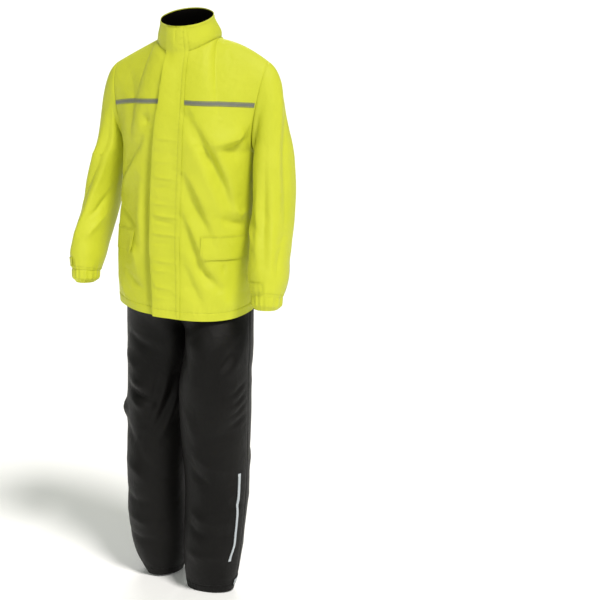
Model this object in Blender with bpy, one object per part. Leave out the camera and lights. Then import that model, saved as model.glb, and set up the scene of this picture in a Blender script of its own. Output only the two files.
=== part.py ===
"""Rain suit, jacket and trousers, standing as worn.

Axes: +Z up, the front faces -Y, the wearer's left is +X. The origin is the point at the neck where
the suit is held on its wearer. Tables hold heights above the trouser hems. Lengths are in metres,
angles in degrees, counted from the front towards the wearer's left.
"""
import math

import bpy
import numpy as np

HOLD_HEIGHT = 1.50
WALL = 0.0012
TRIM = 0.0010
SEAM_INSET = 0.00016
LIFT = 0.0003

UNDERARM_HEIGHT = 1.235
CROTCH_HEIGHT = 0.70
RISE_START = 0.825

# height, half width, front depth, back depth
TORSO = np.array([
    (0.74, 0.194, 0.154, 0.146),
    (0.80, 0.192, 0.151, 0.143),
    (0.95, 0.189, 0.143, 0.134),
    (1.07, 0.187, 0.137, 0.120),
    (1.16, 0.187, 0.136, 0.123),
    (1.26, 0.186, 0.132, 0.124),
])
TORSO_POWER = 2.2

# angle, hem height
FRONT_HEM = np.array([(-90, 0.806), (-60, 0.803), (-20, 0.793), (15, 0.785), (55, 0.787), (90, 0.802)])
BACK_HEM = np.array([(90, 0.802), (105, 0.786), (160, 0.776), (185, 0.783), (215, 0.776), (255, 0.786), (270, 0.806)])

NECK_HALF_WIDTH = 0.086
NECK_FRONT = 0.084
NECK_BACK = 0.076
NECK_FRONT_HEIGHT = 1.492
NECK_SIDE_HEIGHT_LEFT = 1.528
NECK_SIDE_HEIGHT_RIGHT = 1.521
NECK_BACK_HEIGHT = 1.530
SHOULDER_TIP_LEFT = (0.224, 0.012, 1.470)
SHOULDER_TIP_RIGHT = (0.216, 0.008, 1.452)
SHOULDER_BOW_LEFT = 0.010
SHOULDER_BOW_RIGHT = 0.001

# the reflective tape across chest and back: its height in the middle and at the two armholes
TAPE_HEIGHT = 1.366
TAPE_HEIGHT_LEFT = 1.359
TAPE_HEIGHT_RIGHT = 1.343

SHOULDER_NORMAL = (0.394, 0.0, 0.919)

# how the chest curve leaves the underarm and meets the top edge: sideways, away from the middle, upwards
LEAVE_MIDDLE = np.array([0.0, 0.005, 0.27])
LEAVE_SIDE = np.array([0.02, 0.16, 0.10])
ARRIVE_MIDDLE = np.array([0.0, -0.075, 0.25])
ARRIVE_SIDE = np.array([-0.02, -0.19, 0.05])
MIDDLE_SHARE = 0.5

# the folds fade towards the armholes, below the shoulders and under the storm flap
ARMHOLE_FADE = 0.15
BODY_FOLD_TOP = 1.44
BODY_FOLD_FADE = 0.06
FLAP_QUIET = 0.25
FLAP_QUIET_START = 6.0
FLAP_QUIET_WIDTH = 12.0

RIM_RADIUS = 0.071
RIM_MIDDLE_Y = -0.018
RIM_FRONT_HEIGHT = 1.562
RIM_BACK_HEIGHT = 1.600
COLLAR_RISE = (0.0, 0.0, 0.06)
COLLAR_FLARE = 0.012
RIM_RISE = (0.0, 0.0, 0.07)
COLLAR_ROWS = 5
NECK_GAP = 0.0016
LINING_INSET = 0.004

FRONT_STRIP_INSET = 0.002
ZIP_LIFT = 0.0005
FLAP_LIFT = (0.0026, 0.0022, 0.0022, 0.0022, 0.0014, 0.0006)
POCKET_LIFT = (0.0045, 0.0025, 0.0006)
TAPE_INSET = 0.0015

# column angles of the panels, and the rows that tapes, flaps and the casing follow
LEFT_FRONT_COLUMNS = (0, 4, 8, 12, 20, 28, 45, 56.25, 67.5, 78.75, 90)
RIGHT_FRONT_COLUMNS = (-90, -78.75, -67.5, -56.25, -45, -30, -20, -10, -4, 0)
NECK_COLUMN = LEFT_FRONT_COLUMNS.index(45)
NECK_COLUMN_RIGHT = len(RIGHT_FRONT_COLUMNS) - 1 - RIGHT_FRONT_COLUMNS.index(-45)
BACK_QUARTER = (90, 101.25, 112.5, 123.75, 135, 142.5, 150, 157.5, 165, 172.5, 180)
BACK_COLUMNS = BACK_QUARTER + tuple(360 - angle for angle in BACK_QUARTER[-2::-1])
BODY_ROWS = (0.0, 0.045, 0.13, 0.245, 0.365, 0.436, 0.507, 0.55, 0.59, 0.64, 0.69, 0.79, 0.89, 1.0)
CHEST_ROWS = (0.11, 0.22, 0.33, 0.42, 0.476, 0.519, 0.61, 0.71, 0.81, 0.91, 1.0)
POCKET_ROWS = (4, 6)
CASING_ROWS = (8, 10)
TAPE_ROWS = (4, 5)

# height, middle x, middle y, half width, half depth
LEFT_SLEEVE = np.array([
    (0.830, 0.273, -0.100, 0.037, 0.045),
    (0.864, 0.271, -0.091, 0.039, 0.049),
    (0.895, 0.267, -0.078, 0.050, 0.060),
    (0.960, 0.260, -0.050, 0.052, 0.068),
    (1.040, 0.251, -0.015, 0.052, 0.074),
    (1.120, 0.246, 0.004, 0.051, 0.077),
    (1.200, 0.241, 0.012, 0.049, 0.076),
])
RIGHT_SLEEVE = np.array([
    (0.850, 0.275, -0.092, 0.031, 0.044),
    (0.884, 0.278, -0.084, 0.034, 0.049),
    (0.912, 0.280, -0.072, 0.043, 0.061),
    (0.960, 0.279, -0.052, 0.045, 0.070),
    (1.040, 0.267, -0.020, 0.043, 0.075),
    (1.120, 0.256, 0.002, 0.044, 0.077),
    (1.200, 0.241, 0.012, 0.047, 0.076),
])
SLEEVE_ROWS = (0.0, 0.047, 0.094, 0.13, 0.23, 0.33, 0.43, 0.54, 0.66, 0.78, 0.89, 1.0)
CUFF_ROWS = 2
CUFF_TAB_ROWS = (3, 4)
CUFF_TAB_COLUMNS = {1: (3, 5), -1: (9, 11)}
CAP_ROWS = (0.18, 0.38, 0.58, 0.79, 1.0)
CAP_INWARDS = np.array([-0.85, 0.0, 0.50])
CAP_FROM_BELOW = np.array([-0.6, 0.0, 0.8])
CAP_REACH = {1: 0.74, -1: 0.95}
CAP_REACH_FRONT = {1: 0.40, -1: 0.55}
RING_TILT = 0.6
SLEEVE_FOLD_TOP = 1.19
SLEEVE_FOLD_FADE = 0.05
SLEEVE_TWIST = 48.0
CUFF_GATHERS = 16
CUFF_SWELL = 0.0022
CUFF_SWELL_ROWS = (0.6, 1.0, 0.0)
ARMHOLE_INSET = 0.0006
CUFF_INSET = 0.0008
TAPE_WIDTH = 0.012

# height, middle x, middle y, half width, half depth
LEFT_LEG = np.array([
    (0.00, 0.088, -0.049, 0.068, 0.045),
    (0.05, 0.091, -0.050, 0.077, 0.062),
    (0.10, 0.094, -0.049, 0.081, 0.076),
    (0.28, 0.100, -0.034, 0.087, 0.094),
    (0.49, 0.099, -0.042, 0.096, 0.106),
    (0.62, 0.099, -0.044, 0.0975, 0.112),
    (0.665, 0.099, -0.040, 0.0975, 0.113),
    (0.70, 0.098, -0.034, 0.098, 0.114),
])
RIGHT_LEG = np.array([
    (0.00, 0.088, 0.020, 0.046, 0.068),
    (0.05, 0.092, 0.016, 0.072, 0.080),
    (0.10, 0.096, 0.013, 0.083, 0.088),
    (0.18, 0.099, 0.007, 0.088, 0.092),
    (0.28, 0.100, 0.004, 0.087, 0.096),
    (0.49, 0.099, 0.024, 0.095, 0.106),
    (0.62, 0.099, 0.034, 0.0975, 0.112),
    (0.665, 0.099, 0.036, 0.0975, 0.113),
    (0.70, 0.098, 0.034, 0.098, 0.114),
])
# height, half width, front depth, back depth
PELVIS = np.array([
    (0.70, 0.180, 0.130, 0.130),
    (0.79, 0.180, 0.132, 0.132),
    (0.88, 0.174, 0.124, 0.124),
    (0.97, 0.166, 0.114, 0.112),
    (1.03, 0.160, 0.110, 0.104),
])
LEG_HEIGHTS = (0.0, 0.022, 0.046, 0.068, 0.10, 0.15, 0.20, 0.25, 0.30, 0.352, 0.41, 0.475, 0.54, 0.605, 0.66,
               0.70, 0.722, 0.745, 0.77, 0.80, 0.85, 0.91, 0.97, 1.03)
STRIPE_ROWS = (4, 9)
STRIPE_BAND = slice(7, 9)
INNER_SPREAD = 0.45
INNER_START = 0.58
PELVIS_POWER = 2.1
INSEAM_QUIET = 35.0
HEM_QUIET = 0.06
PLAIN_COLUMNS = (0, 0.1, 0.22, 0.35, 0.5, 0.65, 0.78, 0.9, 1)
STRIPE_COLUMNS = (0, 0.1, 0.22, 0.35, 0.5, 0.63, 0.76, 0.86, 0.90, 1)
LATE_STRIPE_COLUMNS = (0, 0.1, 0.22, 0.35, 0.5, 0.62, 0.76, 0.91, 0.95, 1)
WAISTBAND_HEIGHT = 0.034
WAISTBAND_WALL = 0.0016
WAISTBAND_COLUMNS = 28

# ankle tabs: rows of the leg, and how far tab and patch stand in from the ends and edges of their cells
LEFT_TAB_ROWS = (1, 2)
RIGHT_TAB_ROWS = (2, 3)
RIGHT_TAB_COLUMNS = (5, 7)
LEFT_TAB_INSET = 0.008
RIGHT_TAB_INSET = 0.002
PATCH_INSET = 0.004
PATCH_EDGE = 0.0025

# folds of the jacket body: angle and height at both ends, half width across, push outwards
BODY_FOLDS = np.array([
    (22, 1.37, 52, 1.12, 0.020, 0.006),
    (14, 1.20, 45, 1.05, 0.016, 0.005),
    (14, 1.06, 38, 0.90, 0.018, 0.007),
    (24, 1.05, 50, 0.85, 0.020, -0.006),
    (55, 1.27, 80, 1.29, 0.014, -0.006),
    (60, 1.05, 82, 1.02, 0.014, 0.004),
    (-16, 1.28, -22, 1.04, 0.012, -0.008),
    (-60, 1.17, -28, 1.29, 0.018, 0.007),
    (-40, 1.05, -28, 0.95, 0.016, 0.006),
    (-62, 1.37, -58, 1.24, 0.015, -0.006),
    (-36, 0.92, -46, 0.80, 0.018, -0.005),
    (-66, 0.78, -66, 1.12, 0.050, 0.006),
    (40, 0.90, 56, 0.79, 0.020, 0.005),
    (200, 1.30, 214, 1.10, 0.014, 0.006),
    (228, 1.33, 222, 1.10, 0.013, -0.006),
    (188, 1.24, 192, 1.10, 0.012, 0.005),
    (170, 1.26, 172, 1.10, 0.012, -0.005),
    (155, 1.24, 158, 1.10, 0.012, 0.006),
    (140, 1.28, 145, 1.10, 0.013, 0.006),
    (127, 1.20, 132, 1.10, 0.012, -0.005),
    (240, 1.22, 234, 1.10, 0.012, 0.005),
    (237, 1.29, 248, 1.40, 0.013, -0.007),
    (120, 0.80, 130, 1.03, 0.018, 0.007),
    (140, 0.79, 146, 1.03, 0.015, -0.006),
    (158, 0.78, 160, 1.03, 0.017, 0.007),
    (180, 0.78, 178, 1.03, 0.016, -0.006),
    (200, 0.78, 194, 1.03, 0.018, 0.007),
    (222, 0.79, 212, 1.03, 0.016, -0.006),
    (243, 0.80, 230, 1.03, 0.017, 0.006),
])
# folds of the sleeves: angle and height at both ends, half width across, push outwards
SLEEVE_FOLDS = np.array([
    (40, 1.30, 20, 1.05, 0.014, 0.004),
    (80, 1.22, 60, 0.96, 0.014, -0.004),
    (-30, 1.16, -10, 0.94, 0.014, 0.004),
    (130, 1.20, 110, 0.93, 0.015, 0.004),
    (170, 1.12, 175, 0.94, 0.014, -0.004),
    (-70, 1.06, -40, 1.01, 0.012, -0.004),
    (-60, 1.00, -20, 0.97, 0.012, 0.004),
])
# folds of the legs: angle and height at both ends, half width across, push outwards
LEFT_LEG_FOLDS = np.array([
    (-20, 0.74, 30, 0.60, 0.022, 0.006),
    (30, 0.70, 70, 0.69, 0.016, -0.005),
    (40, 0.56, 85, 0.53, 0.014, -0.005),
    (-40, 0.55, 10, 0.44, 0.020, 0.006),
    (-30, 0.36, 20, 0.30, 0.018, -0.005),
    (-30, 0.22, 40, 0.17, 0.018, 0.005),
    (120, 0.62, 200, 0.56, 0.020, -0.005),
    (130, 0.42, 220, 0.46, 0.018, -0.006),
    (120, 0.34, 210, 0.30, 0.018, 0.005),
    (130, 0.16, 220, 0.20, 0.016, 0.005),
])
RIGHT_LEG_FOLDS = np.array([
    (-75, 0.56, -30, 0.53, 0.018, -0.007),
    (40, 0.56, -20, 0.46, 0.020, 0.007),
    (-60, 0.66, -10, 0.60, 0.020, 0.005),
    (-70, 0.45, -20, 0.40, 0.018, 0.005),
    (-50, 0.33, 20, 0.29, 0.018, -0.005),
    (-60, 0.17, 10, 0.20, 0.016, 0.005),
    (150, 0.62, 230, 0.57, 0.020, -0.005),
    (140, 0.44, 230, 0.47, 0.018, -0.006),
    (150, 0.34, 230, 0.31, 0.018, 0.005),
    (140, 0.15, 220, 0.19, 0.016, 0.005),
])
BODY_ARC = 0.165
SLEEVE_ARC = 0.062
LEG_ARC = 0.090

CASING_GATHERS = 28
CASING_COLUMNS = (2, 18)
CASING_LIFT = (0.0008, 0.0026)

FOLD_END_SHARE = 0.35
ROUGHNESS = 0.6

COLOURS = {
    "yellow_cloth": (0.72, 0.78, 0.055),
    "dark_cloth": (0.022, 0.020, 0.018),
    "dark_lining": (0.006, 0.004, 0.003),
    "grey_tape": (0.22, 0.24, 0.20),
    "silver_tape": (0.46, 0.50, 0.54),
    "zip_tape": (0.08, 0.08, 0.05),
}


def smoothstep(t):
    """Ease from 0 to 1."""
    t = np.clip(t, 0.0, 1.0)
    return t * t * (3.0 - 2.0 * t)


def table_at(table, at):
    """Read the columns of a table at given first-column values along a smooth curve."""
    keys = table[:, 0]
    values = table[:, 1:]
    slopes = np.gradient(values, keys, axis=0)
    at = np.clip(np.asarray(at, float), keys[0], keys[-1])
    k = np.clip(np.searchsorted(keys, at, side="right") - 1, 0, len(keys) - 2)
    step = (keys[k + 1] - keys[k])[..., None]
    t = (at - keys[k])[..., None] / step
    return ((2 * t**3 - 3 * t**2 + 1) * values[k] + (t**3 - 2 * t**2 + t) * step * slopes[k]
            + (3 * t**2 - 2 * t**3) * values[k + 1] + (t**3 - t**2) * step * slopes[k + 1])


def ring_point(table, angle, height, power):
    """Point of a rounded ring: its half width and its front and back depths come from the table."""
    half_width, front, back = np.moveaxis(table_at(table, height), -1, 0)
    sine = np.sin(np.radians(angle))
    cosine = np.cos(np.radians(angle))
    depth = np.where(cosine >= 0, front, back)
    x = half_width * np.sign(sine) * np.abs(sine) ** (2 / power)
    y = -depth * np.sign(cosine) * np.abs(cosine) ** (2 / power)
    return np.stack([x, y, height + 0.0 * x], -1)


def fold_push(folds, angle, height, arc):
    """Sum of soft ridges and troughs, each along a straight line on the cloth laid flat."""
    push = np.zeros(np.broadcast(angle, height).shape)
    for start_angle, start_height, end_angle, end_height, half_width, depth in folds:
        start = np.array([math.radians(start_angle) * arc, start_height])
        along = np.array([math.radians(end_angle) * arc, end_height]) - start
        length = np.hypot(*along)
        turn = (angle - start_angle + 180.0) % 360.0 - 180.0
        across = np.radians(turn) * arc
        rise = height - start_height
        t = (across * along[0] + rise * along[1]) / length**2
        near = np.clip(t, 0.0, 1.0)
        away = np.hypot(across - near * along[0], rise - near * along[1])
        ends = FOLD_END_SHARE + (1.0 - FOLD_END_SHARE) * np.sin(np.pi * near)
        push += depth * ends * np.exp(-(away / half_width) ** 2)
    return push


def hermite(start, end, leave, arrive, t):
    """Curves from start to end with given directions at both ends."""
    return ((2 * t**3 - 3 * t**2 + 1) * start + (t**3 - 2 * t**2 + t) * leave
            + (3 * t**2 - 2 * t**3) * end + (t**3 - t**2) * arrive)


def outwards(angle):
    """Level direction away from the middle at an angle."""
    angle = np.radians(angle)
    return np.stack([np.sin(angle), -np.cos(angle), 0.0 * angle], -1)


def neck_edge(angle, back):
    """Top edge of a panel: the neckline as far as 45 degrees from its middle, then the shoulder."""
    side = np.where(np.sin(np.radians(angle)) >= 0, 1.0, -1.0)
    from_middle = np.abs((angle - (180.0 if back else 0.0) + 180.0) % 360.0 - 180.0)
    turn = np.radians(np.clip(from_middle * 2.0, 0.0, 90.0))
    depth = NECK_BACK if back else -NECK_FRONT
    middle_height = NECK_BACK_HEIGHT if back else NECK_FRONT_HEIGHT
    side_height = np.where(side > 0, NECK_SIDE_HEIGHT_LEFT, NECK_SIDE_HEIGHT_RIGHT)
    height = middle_height + (side_height - middle_height) * np.sin(turn) ** 2
    neck = np.stack([side * NECK_HALF_WIDTH * np.sin(turn), depth * np.cos(turn), height], -1)
    along = np.clip(from_middle / 45.0 - 1.0, 0.0, 1.0)[..., None]
    tip = np.where((side > 0)[..., None], SHOULDER_TIP_LEFT, SHOULDER_TIP_RIGHT)
    tip = tip * np.stack([side, np.ones_like(side), np.ones_like(side)], -1)
    bow = np.where(side > 0, SHOULDER_BOW_LEFT, SHOULDER_BOW_RIGHT)[..., None] * np.sin(np.pi * along)
    bow = bow * np.array([0.0, 0.0, 1.0])
    return neck + (tip - neck) * along + bow


def body_grid(columns, back):
    """Grid of a jacket panel from its hem over the chest or the back to neck and shoulder."""
    angle = np.array(columns, float)[None, :]
    rows = np.array(BODY_ROWS)[:, None]
    hem = table_at(BACK_HEM if back else FRONT_HEM, (angle + 360.0) % 360.0 if back else angle)[..., 0]
    height = hem + (UNDERARM_HEIGHT - hem) * rows
    angle_low = np.broadcast_to(angle, height.shape)
    low = ring_point(TORSO, angle_low, height, TORSO_POWER)
    side = np.where(np.sin(np.radians(angle)) >= 0, 1.0, -1.0)
    from_middle = np.abs((angle - (180.0 if back else 0.0) + 180.0) % 360.0 - 180.0) / 90.0
    facing = 1.0 if back else -1.0
    top = neck_edge(angle, back)
    edge = from_middle[..., None] ** 3
    over = smoothstep(from_middle[..., None] / MIDDLE_SHARE)
    one = np.ones_like(from_middle)
    turned = np.stack([side, facing * one, one], -1)
    leave = turned * (LEAVE_MIDDLE + (LEAVE_SIDE - LEAVE_MIDDLE) * edge)
    arrive_side = ARRIVE_SIDE * np.stack([from_middle, one, one], -1)
    arrive = turned * (ARRIVE_MIDDLE + (arrive_side - ARRIVE_MIDDLE) * over)
    tape_end = np.where(side > 0, TAPE_HEIGHT_LEFT, TAPE_HEIGHT_RIGHT)
    aim = TAPE_HEIGHT + (tape_end - TAPE_HEIGHT) * from_middle**1.5
    t = level_rows(low[-1:], top, leave, arrive, aim[0])
    high = hermite(low[-1:], top, leave, arrive, t)
    grid = np.concatenate([low, high])
    full_angle = np.broadcast_to(angle, grid.shape[:2])
    push = fold_push(BODY_FOLDS, full_angle, grid[..., 2], BODY_ARC)
    quiet = smoothstep((1.0 - from_middle) / ARMHOLE_FADE)
    quiet = quiet * smoothstep((BODY_FOLD_TOP - grid[..., 2]) / BODY_FOLD_FADE)
    if not back:
        beside_flap = smoothstep((np.abs(full_angle) - FLAP_QUIET_START) / FLAP_QUIET_WIDTH)
        quiet = quiet * (FLAP_QUIET + (1.0 - FLAP_QUIET) * beside_flap)
    return grid + outwards(full_angle) * (push * quiet)[..., None]


def level_rows(start, end, leave, arrive, aim):
    """Row positions on the chest columns, shifted so that the tape rows run straight across."""
    fine = np.linspace(0.0, 1.0, 201)
    heights = hermite(start, end, leave, arrive, fine[:, None, None])[..., 2]
    rows = np.array(CHEST_ROWS)
    tape = rows[list(TAPE_ROWS)].mean()
    at = np.array([np.interp(aim[i], heights[:, i], fine) for i in range(len(aim))])
    below = rows[:, None] / tape * at
    above = at + (rows[:, None] - tape) / (1.0 - tape) * (1.0 - at)
    return np.where(rows[:, None] < tape, below, above)[..., None]


def arc_fraction(points):
    """Length along a line of points, from 0 to 1."""
    steps = np.linalg.norm(np.diff(points, axis=0), axis=-1)
    return np.concatenate([[0.0], np.cumsum(steps)]) / steps.sum()


def sleeve_grid(front_edge, back_edge, table, side):
    """Grid of a left-hand sleeve, cuff upwards, with its top row on the armhole.

    The armhole points run from the underarm up the front and down the back, and each point owns a
    column, so that the tape on the back carries on down the sleeve.
    """
    armhole = np.concatenate([front_edge, back_edge[-2:0:-1]])
    climb = 180.0 * arc_fraction(front_edge)
    fall = 360.0 - 180.0 * arc_fraction(back_edge)[-2:0:-1]
    angle = np.concatenate([climb, fall]) - 90.0
    first = len(front_edge) - 1 + len(CHEST_ROWS) - 1 - TAPE_ROWS[1]
    middle = angle[first:first + 2].mean()
    spread = math.degrees(0.5 * TAPE_WIDTH / SLEEVE_ARC)
    turned = angle.copy()
    turned[first] = middle - spread
    turned[first + 1] = middle + spread
    turned = turned - SLEEVE_TWIST
    height = table[0, 0] + (table[-1, 0] - table[0, 0]) * np.array(SLEEVE_ROWS)
    middle_x, middle_y, half_width, half_depth = np.moveaxis(table_at(table, height)[:, None, :], -1, 0)
    slope = np.gradient(middle_y[:, 0], height)[:, None]
    sine = np.sin(np.radians(turned))[None, :]
    cosine = np.cos(np.radians(turned))[None, :]
    y = -half_depth * cosine
    low = np.stack([middle_x + half_width * sine, middle_y + y, height[:, None] - RING_TILT * slope * y], -1)
    turned_rows = np.broadcast_to(turned, low.shape[:2])
    quiet = smoothstep((height - height[CUFF_ROWS]) / SLEEVE_FOLD_FADE)
    quiet = quiet * smoothstep((SLEEVE_FOLD_TOP - height) / SLEEVE_FOLD_FADE)
    push = fold_push(SLEEVE_FOLDS, turned_rows, low[..., 2], SLEEVE_ARC) * quiet[:, None]
    low = low + outwards(turned_rows) * push[..., None]
    reach = np.linalg.norm(armhole - low[-1], axis=-1)[None, :, None]
    lift = (np.sin(np.radians(angle + 90.0) / 2.0) ** 2)[None, :, None]
    forward = np.clip(np.sin(np.radians(angle + 90.0)), 0.0, 1.0)[None, :, None]
    inwards = CAP_INWARDS * (CAP_REACH[side] - CAP_REACH_FRONT[side] * forward)
    arrive = (CAP_FROM_BELOW * (1.0 - lift) + inwards * lift) * reach
    leave = low[-1:] - low[-2:-1]
    leave = leave / np.linalg.norm(leave, axis=-1, keepdims=True)
    high = hermite(low[-1:], armhole[None], leave * reach, arrive, np.array(CAP_ROWS)[:, None, None])
    return np.concatenate([low, high]), first


def mirrored(grid):
    """The same grid on the wearer's other side."""
    return grid[:, ::-1] * np.array([-1.0, 1.0, 1.0])


def leg_ring(table, angle, height, sign):
    """Ring round one leg, placed on the wearer's left or right."""
    level = np.minimum(height, CROTCH_HEIGHT)
    middle_x, middle_y, half_width, half_depth = np.moveaxis(table_at(table, level), -1, 0)
    sine = np.sin(np.radians(angle))
    cosine = np.cos(np.radians(angle))
    inner = np.exp(-((1.0 + sign * sine) / INNER_SPREAD) ** 2)
    inner = inner * smoothstep((level - INNER_START) / (CROTCH_HEIGHT - INNER_START))
    y = middle_y * (1.0 - inner) - half_depth * cosine
    return np.stack([sign * middle_x + half_width * sine, y, height], -1)


def trouser_grid(columns, sign, back):
    """Grid of a trouser panel from its hem to the waist, half a leg blended into a quarter hip."""
    across = np.array(columns)[None, :]
    height = np.array(LEG_HEIGHTS)[:, None] + 0.0 * across
    if back:
        leg_angle = 90.0 + 180.0 * across
        hip_angle = 90.0 + 90.0 * across if sign > 0 else 180.0 + 90.0 * across
    else:
        leg_angle = -90.0 + 180.0 * across
        hip_angle = 90.0 * across if sign > 0 else -90.0 + 90.0 * across
    leg_angle = leg_angle + 0.0 * height
    hip_angle = hip_angle + 0.0 * height
    inner = leg_angle + 90.0 if sign > 0 else leg_angle - 90.0
    from_inner = np.abs((inner + 180.0) % 360.0 - 180.0)
    table = LEFT_LEG if sign > 0 else RIGHT_LEG
    folds = LEFT_LEG_FOLDS if sign > 0 else RIGHT_LEG_FOLDS
    leg = leg_ring(table, leg_angle, height, sign)
    quiet = smoothstep(from_inner / INSEAM_QUIET) * smoothstep(height / HEM_QUIET)
    leg = leg + outwards(leg_angle) * (fold_push(folds, leg_angle, height, LEG_ARC) * quiet)[..., None]
    hip = ring_point(PELVIS, hip_angle, height, PELVIS_POWER)
    blend = smoothstep((RISE_START - height) / (RISE_START - CROTCH_HEIGHT))[..., None]
    return hip + (leg - hip) * blend


def grid_normals(grid, closed):
    """Directions away from the cloth at every point of a grid."""
    if closed:
        along = np.roll(grid, -1, 1) - np.roll(grid, 1, 1)
    else:
        along = np.gradient(grid, axis=1)
    normals = np.cross(along, np.gradient(grid, axis=0))
    return normals / np.linalg.norm(normals, axis=-1, keepdims=True)


def inset(grid, sides, amount=SEAM_INSET):
    """Move named edges of a grid back along the cloth."""
    grid = grid.copy()
    for side in sides:
        edge, inner = {
            "left": (np.s_[:, 0], np.s_[:, 1]), "right": (np.s_[:, -1], np.s_[:, -2]),
            "bottom": (np.s_[0], np.s_[1]), "top": (np.s_[-1], np.s_[-2]),
        }[side]
        back = grid[inner] - grid[edge]
        grid[edge] += amount * back / np.linalg.norm(back, axis=-1, keepdims=True)
    return grid


def add_sheet(name, outer, inner, material, closed=False):
    """Closed solid between an outer and an inner grid."""
    rows, columns = outer.shape[:2]
    points = np.concatenate([outer.reshape(-1, 3), inner.reshape(-1, 3)])
    points[:, 2] -= HOLD_HEIGHT
    half = rows * columns
    wide = columns if closed else columns - 1
    faces = []
    for i in range(rows - 1):
        for j in range(wide):
            a = i * columns + j
            b = i * columns + (j + 1) % columns
            c = b + columns
            d = a + columns
            faces.append((a, b, c))
            faces.append((a, c, d))
            faces.append((half + c, half + b, half + a))
            faces.append((half + d, half + c, half + a))
    for j in range(wide):
        k = (j + 1) % columns
        top = (rows - 1) * columns
        faces.append((half + j, half + k, k, j))
        faces.append((top + j, top + k, half + top + k, half + top + j))
    if not closed:
        for i in range(rows - 1):
            a = i * columns
            b = a + columns - 1
            faces.append((a, a + columns, half + a + columns, half + a))
            faces.append((half + b, half + b + columns, b + columns, b))
    mesh = bpy.data.meshes.new(name)
    mesh.from_pydata(points.tolist(), [], faces)
    mesh.update()
    part = bpy.data.objects.new(name, mesh)
    part.data.materials.append(material_named(name, material))
    bpy.data.collections["rain_suit"].objects.link(part)
    return part


def material_named(name, kind):
    """One plain cloth material for a node."""
    material = bpy.data.materials.new(f"{name}.{kind}")
    material.use_nodes = True
    shader = material.node_tree.nodes["Principled BSDF"]
    shader.inputs["Base Color"].default_value = (*COLOURS[kind], 1.0)
    shader.inputs["Roughness"].default_value = ROUGHNESS
    return material


def add_panel(name, grid, normals, material, sides, closed=False, wall=WALL):
    """Sheet of cloth inwards from a grid, with its sewn edges set back."""
    outer = inset(grid, sides)
    inner = inset(grid - normals * wall, sides)
    return add_sheet(name, outer, inner, material, closed)


def add_overlay(name, grid, normals, material, lift=LIFT, wall=TRIM, closed=False):
    """Strip that lies on a panel: the panel's points moved out."""
    lift = np.asarray(lift)[..., None] if np.ndim(lift) else lift
    bottom = grid + normals * lift
    return add_sheet(name, bottom + normals * wall, bottom, material, closed)


def share_normals(one, other):
    """Give two edges that meet one direction."""
    mean = one + other
    mean = mean / np.linalg.norm(mean, axis=-1, keepdims=True)
    return mean


def join_armhole(sleeve_n, front_n, back_n):
    """Give body and sleeve one direction along the armhole wherever they bend outwards together."""
    body = np.concatenate([front_n, back_n[-2:0:-1]])
    facing = np.sum(body * sleeve_n, axis=-1, keepdims=True)
    together = smoothstep((facing + 0.1) / 0.5)
    shared = share_normals(body, sleeve_n)
    body = body + (shared - body) * together
    sleeve = sleeve_n + (shared - sleeve_n) * together
    count = len(front_n)
    back = np.concatenate([body[:1], body[:count - 1:-1], body[count - 1:count]])
    return sleeve, body[:count], back


def build_jacket():
    """Jacket body, its tapes, flaps and collar, and the two sleeves."""
    left = body_grid(LEFT_FRONT_COLUMNS, False)
    right = body_grid(RIGHT_FRONT_COLUMNS, False)
    back = body_grid(BACK_COLUMNS, True)
    left_n, right_n, back_n = (grid_normals(grid, False) for grid in (left, right, back))
    low = len(BODY_ROWS)
    left_n[:low, -1] = back_n[:low, 0] = share_normals(left_n[:low, -1], back_n[:low, 0])
    right_n[:low, 0] = back_n[:low, -1] = share_normals(right_n[:low, 0], back_n[:low, -1])
    left_n[:, 0] = right_n[:, -1] = share_normals(left_n[:, 0], right_n[:, -1])
    shoulder = np.array(SHOULDER_NORMAL)
    quarter = BACK_COLUMNS.index(135)
    left_n[-1, NECK_COLUMN:] = back_n[-1, :quarter + 1] = shoulder
    right_n[-1, :-NECK_COLUMN_RIGHT] = back_n[-1, -quarter - 1:] = shoulder * (-1, 1, 1)
    flip = np.array((-1, 1, 1))
    for side, front, front_n, front_column, back_column in (
        (1, left, left_n, -1, 0), (-1, right, right_n, 0, -1),
    ):
        turn = flip if side < 0 else 1
        sleeve, tape = sleeve_grid(front[low - 1:, front_column] * turn, back[low - 1:, back_column] * turn,
                                   LEFT_SLEEVE if side > 0 else RIGHT_SLEEVE, side)
        sleeve_n = grid_normals(sleeve, True)
        sleeve_n[-1], front_edge, back_edge = join_armhole(
            sleeve_n[-1], front_n[low - 1:, front_column] * turn, back_n[low - 1:, back_column] * turn)
        front_n[low - 1:, front_column] = front_edge * turn
        back_n[low - 1:, back_column] = back_edge * turn
        build_sleeve(side, sleeve, sleeve_n, tape)
    add_panel("jacket_front_left", left, left_n, "yellow_cloth", ("left", "right", "top"))
    add_panel("jacket_front_right", right, right_n, "yellow_cloth", ("left", "right", "top"))
    add_panel("jacket_back", back, back_n, "yellow_cloth", ("left", "right", "top"))

    t0, t1 = (low + row for row in TAPE_ROWS)
    tape = np.s_[t0:t1 + 1]
    for name, grid, normals in (
        ("chest_tape_left", left[tape, 3:], left_n[tape, 3:]),
        ("chest_tape_right", right[tape, :8], right_n[tape, :8]),
        ("back_tape", back[tape], back_n[tape]),
    ):
        add_overlay(name, inset(grid, ("left", "right"), TAPE_INSET), normals, "grey_tape")

    build_collar(left, right, back, left_n, right_n)
    build_pockets(left, right, left_n, right_n)
    build_casing(back, back_n)


def collar_columns(left, right, back):
    """Neckline all round from the middle front to the middle front."""
    quarter = BACK_COLUMNS.index(135)
    return np.concatenate([left[-1, :NECK_COLUMN + 1], back[-1, quarter + 1:-quarter - 1],
                           right[-1, -NECK_COLUMN_RIGHT - 1:]])


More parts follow.
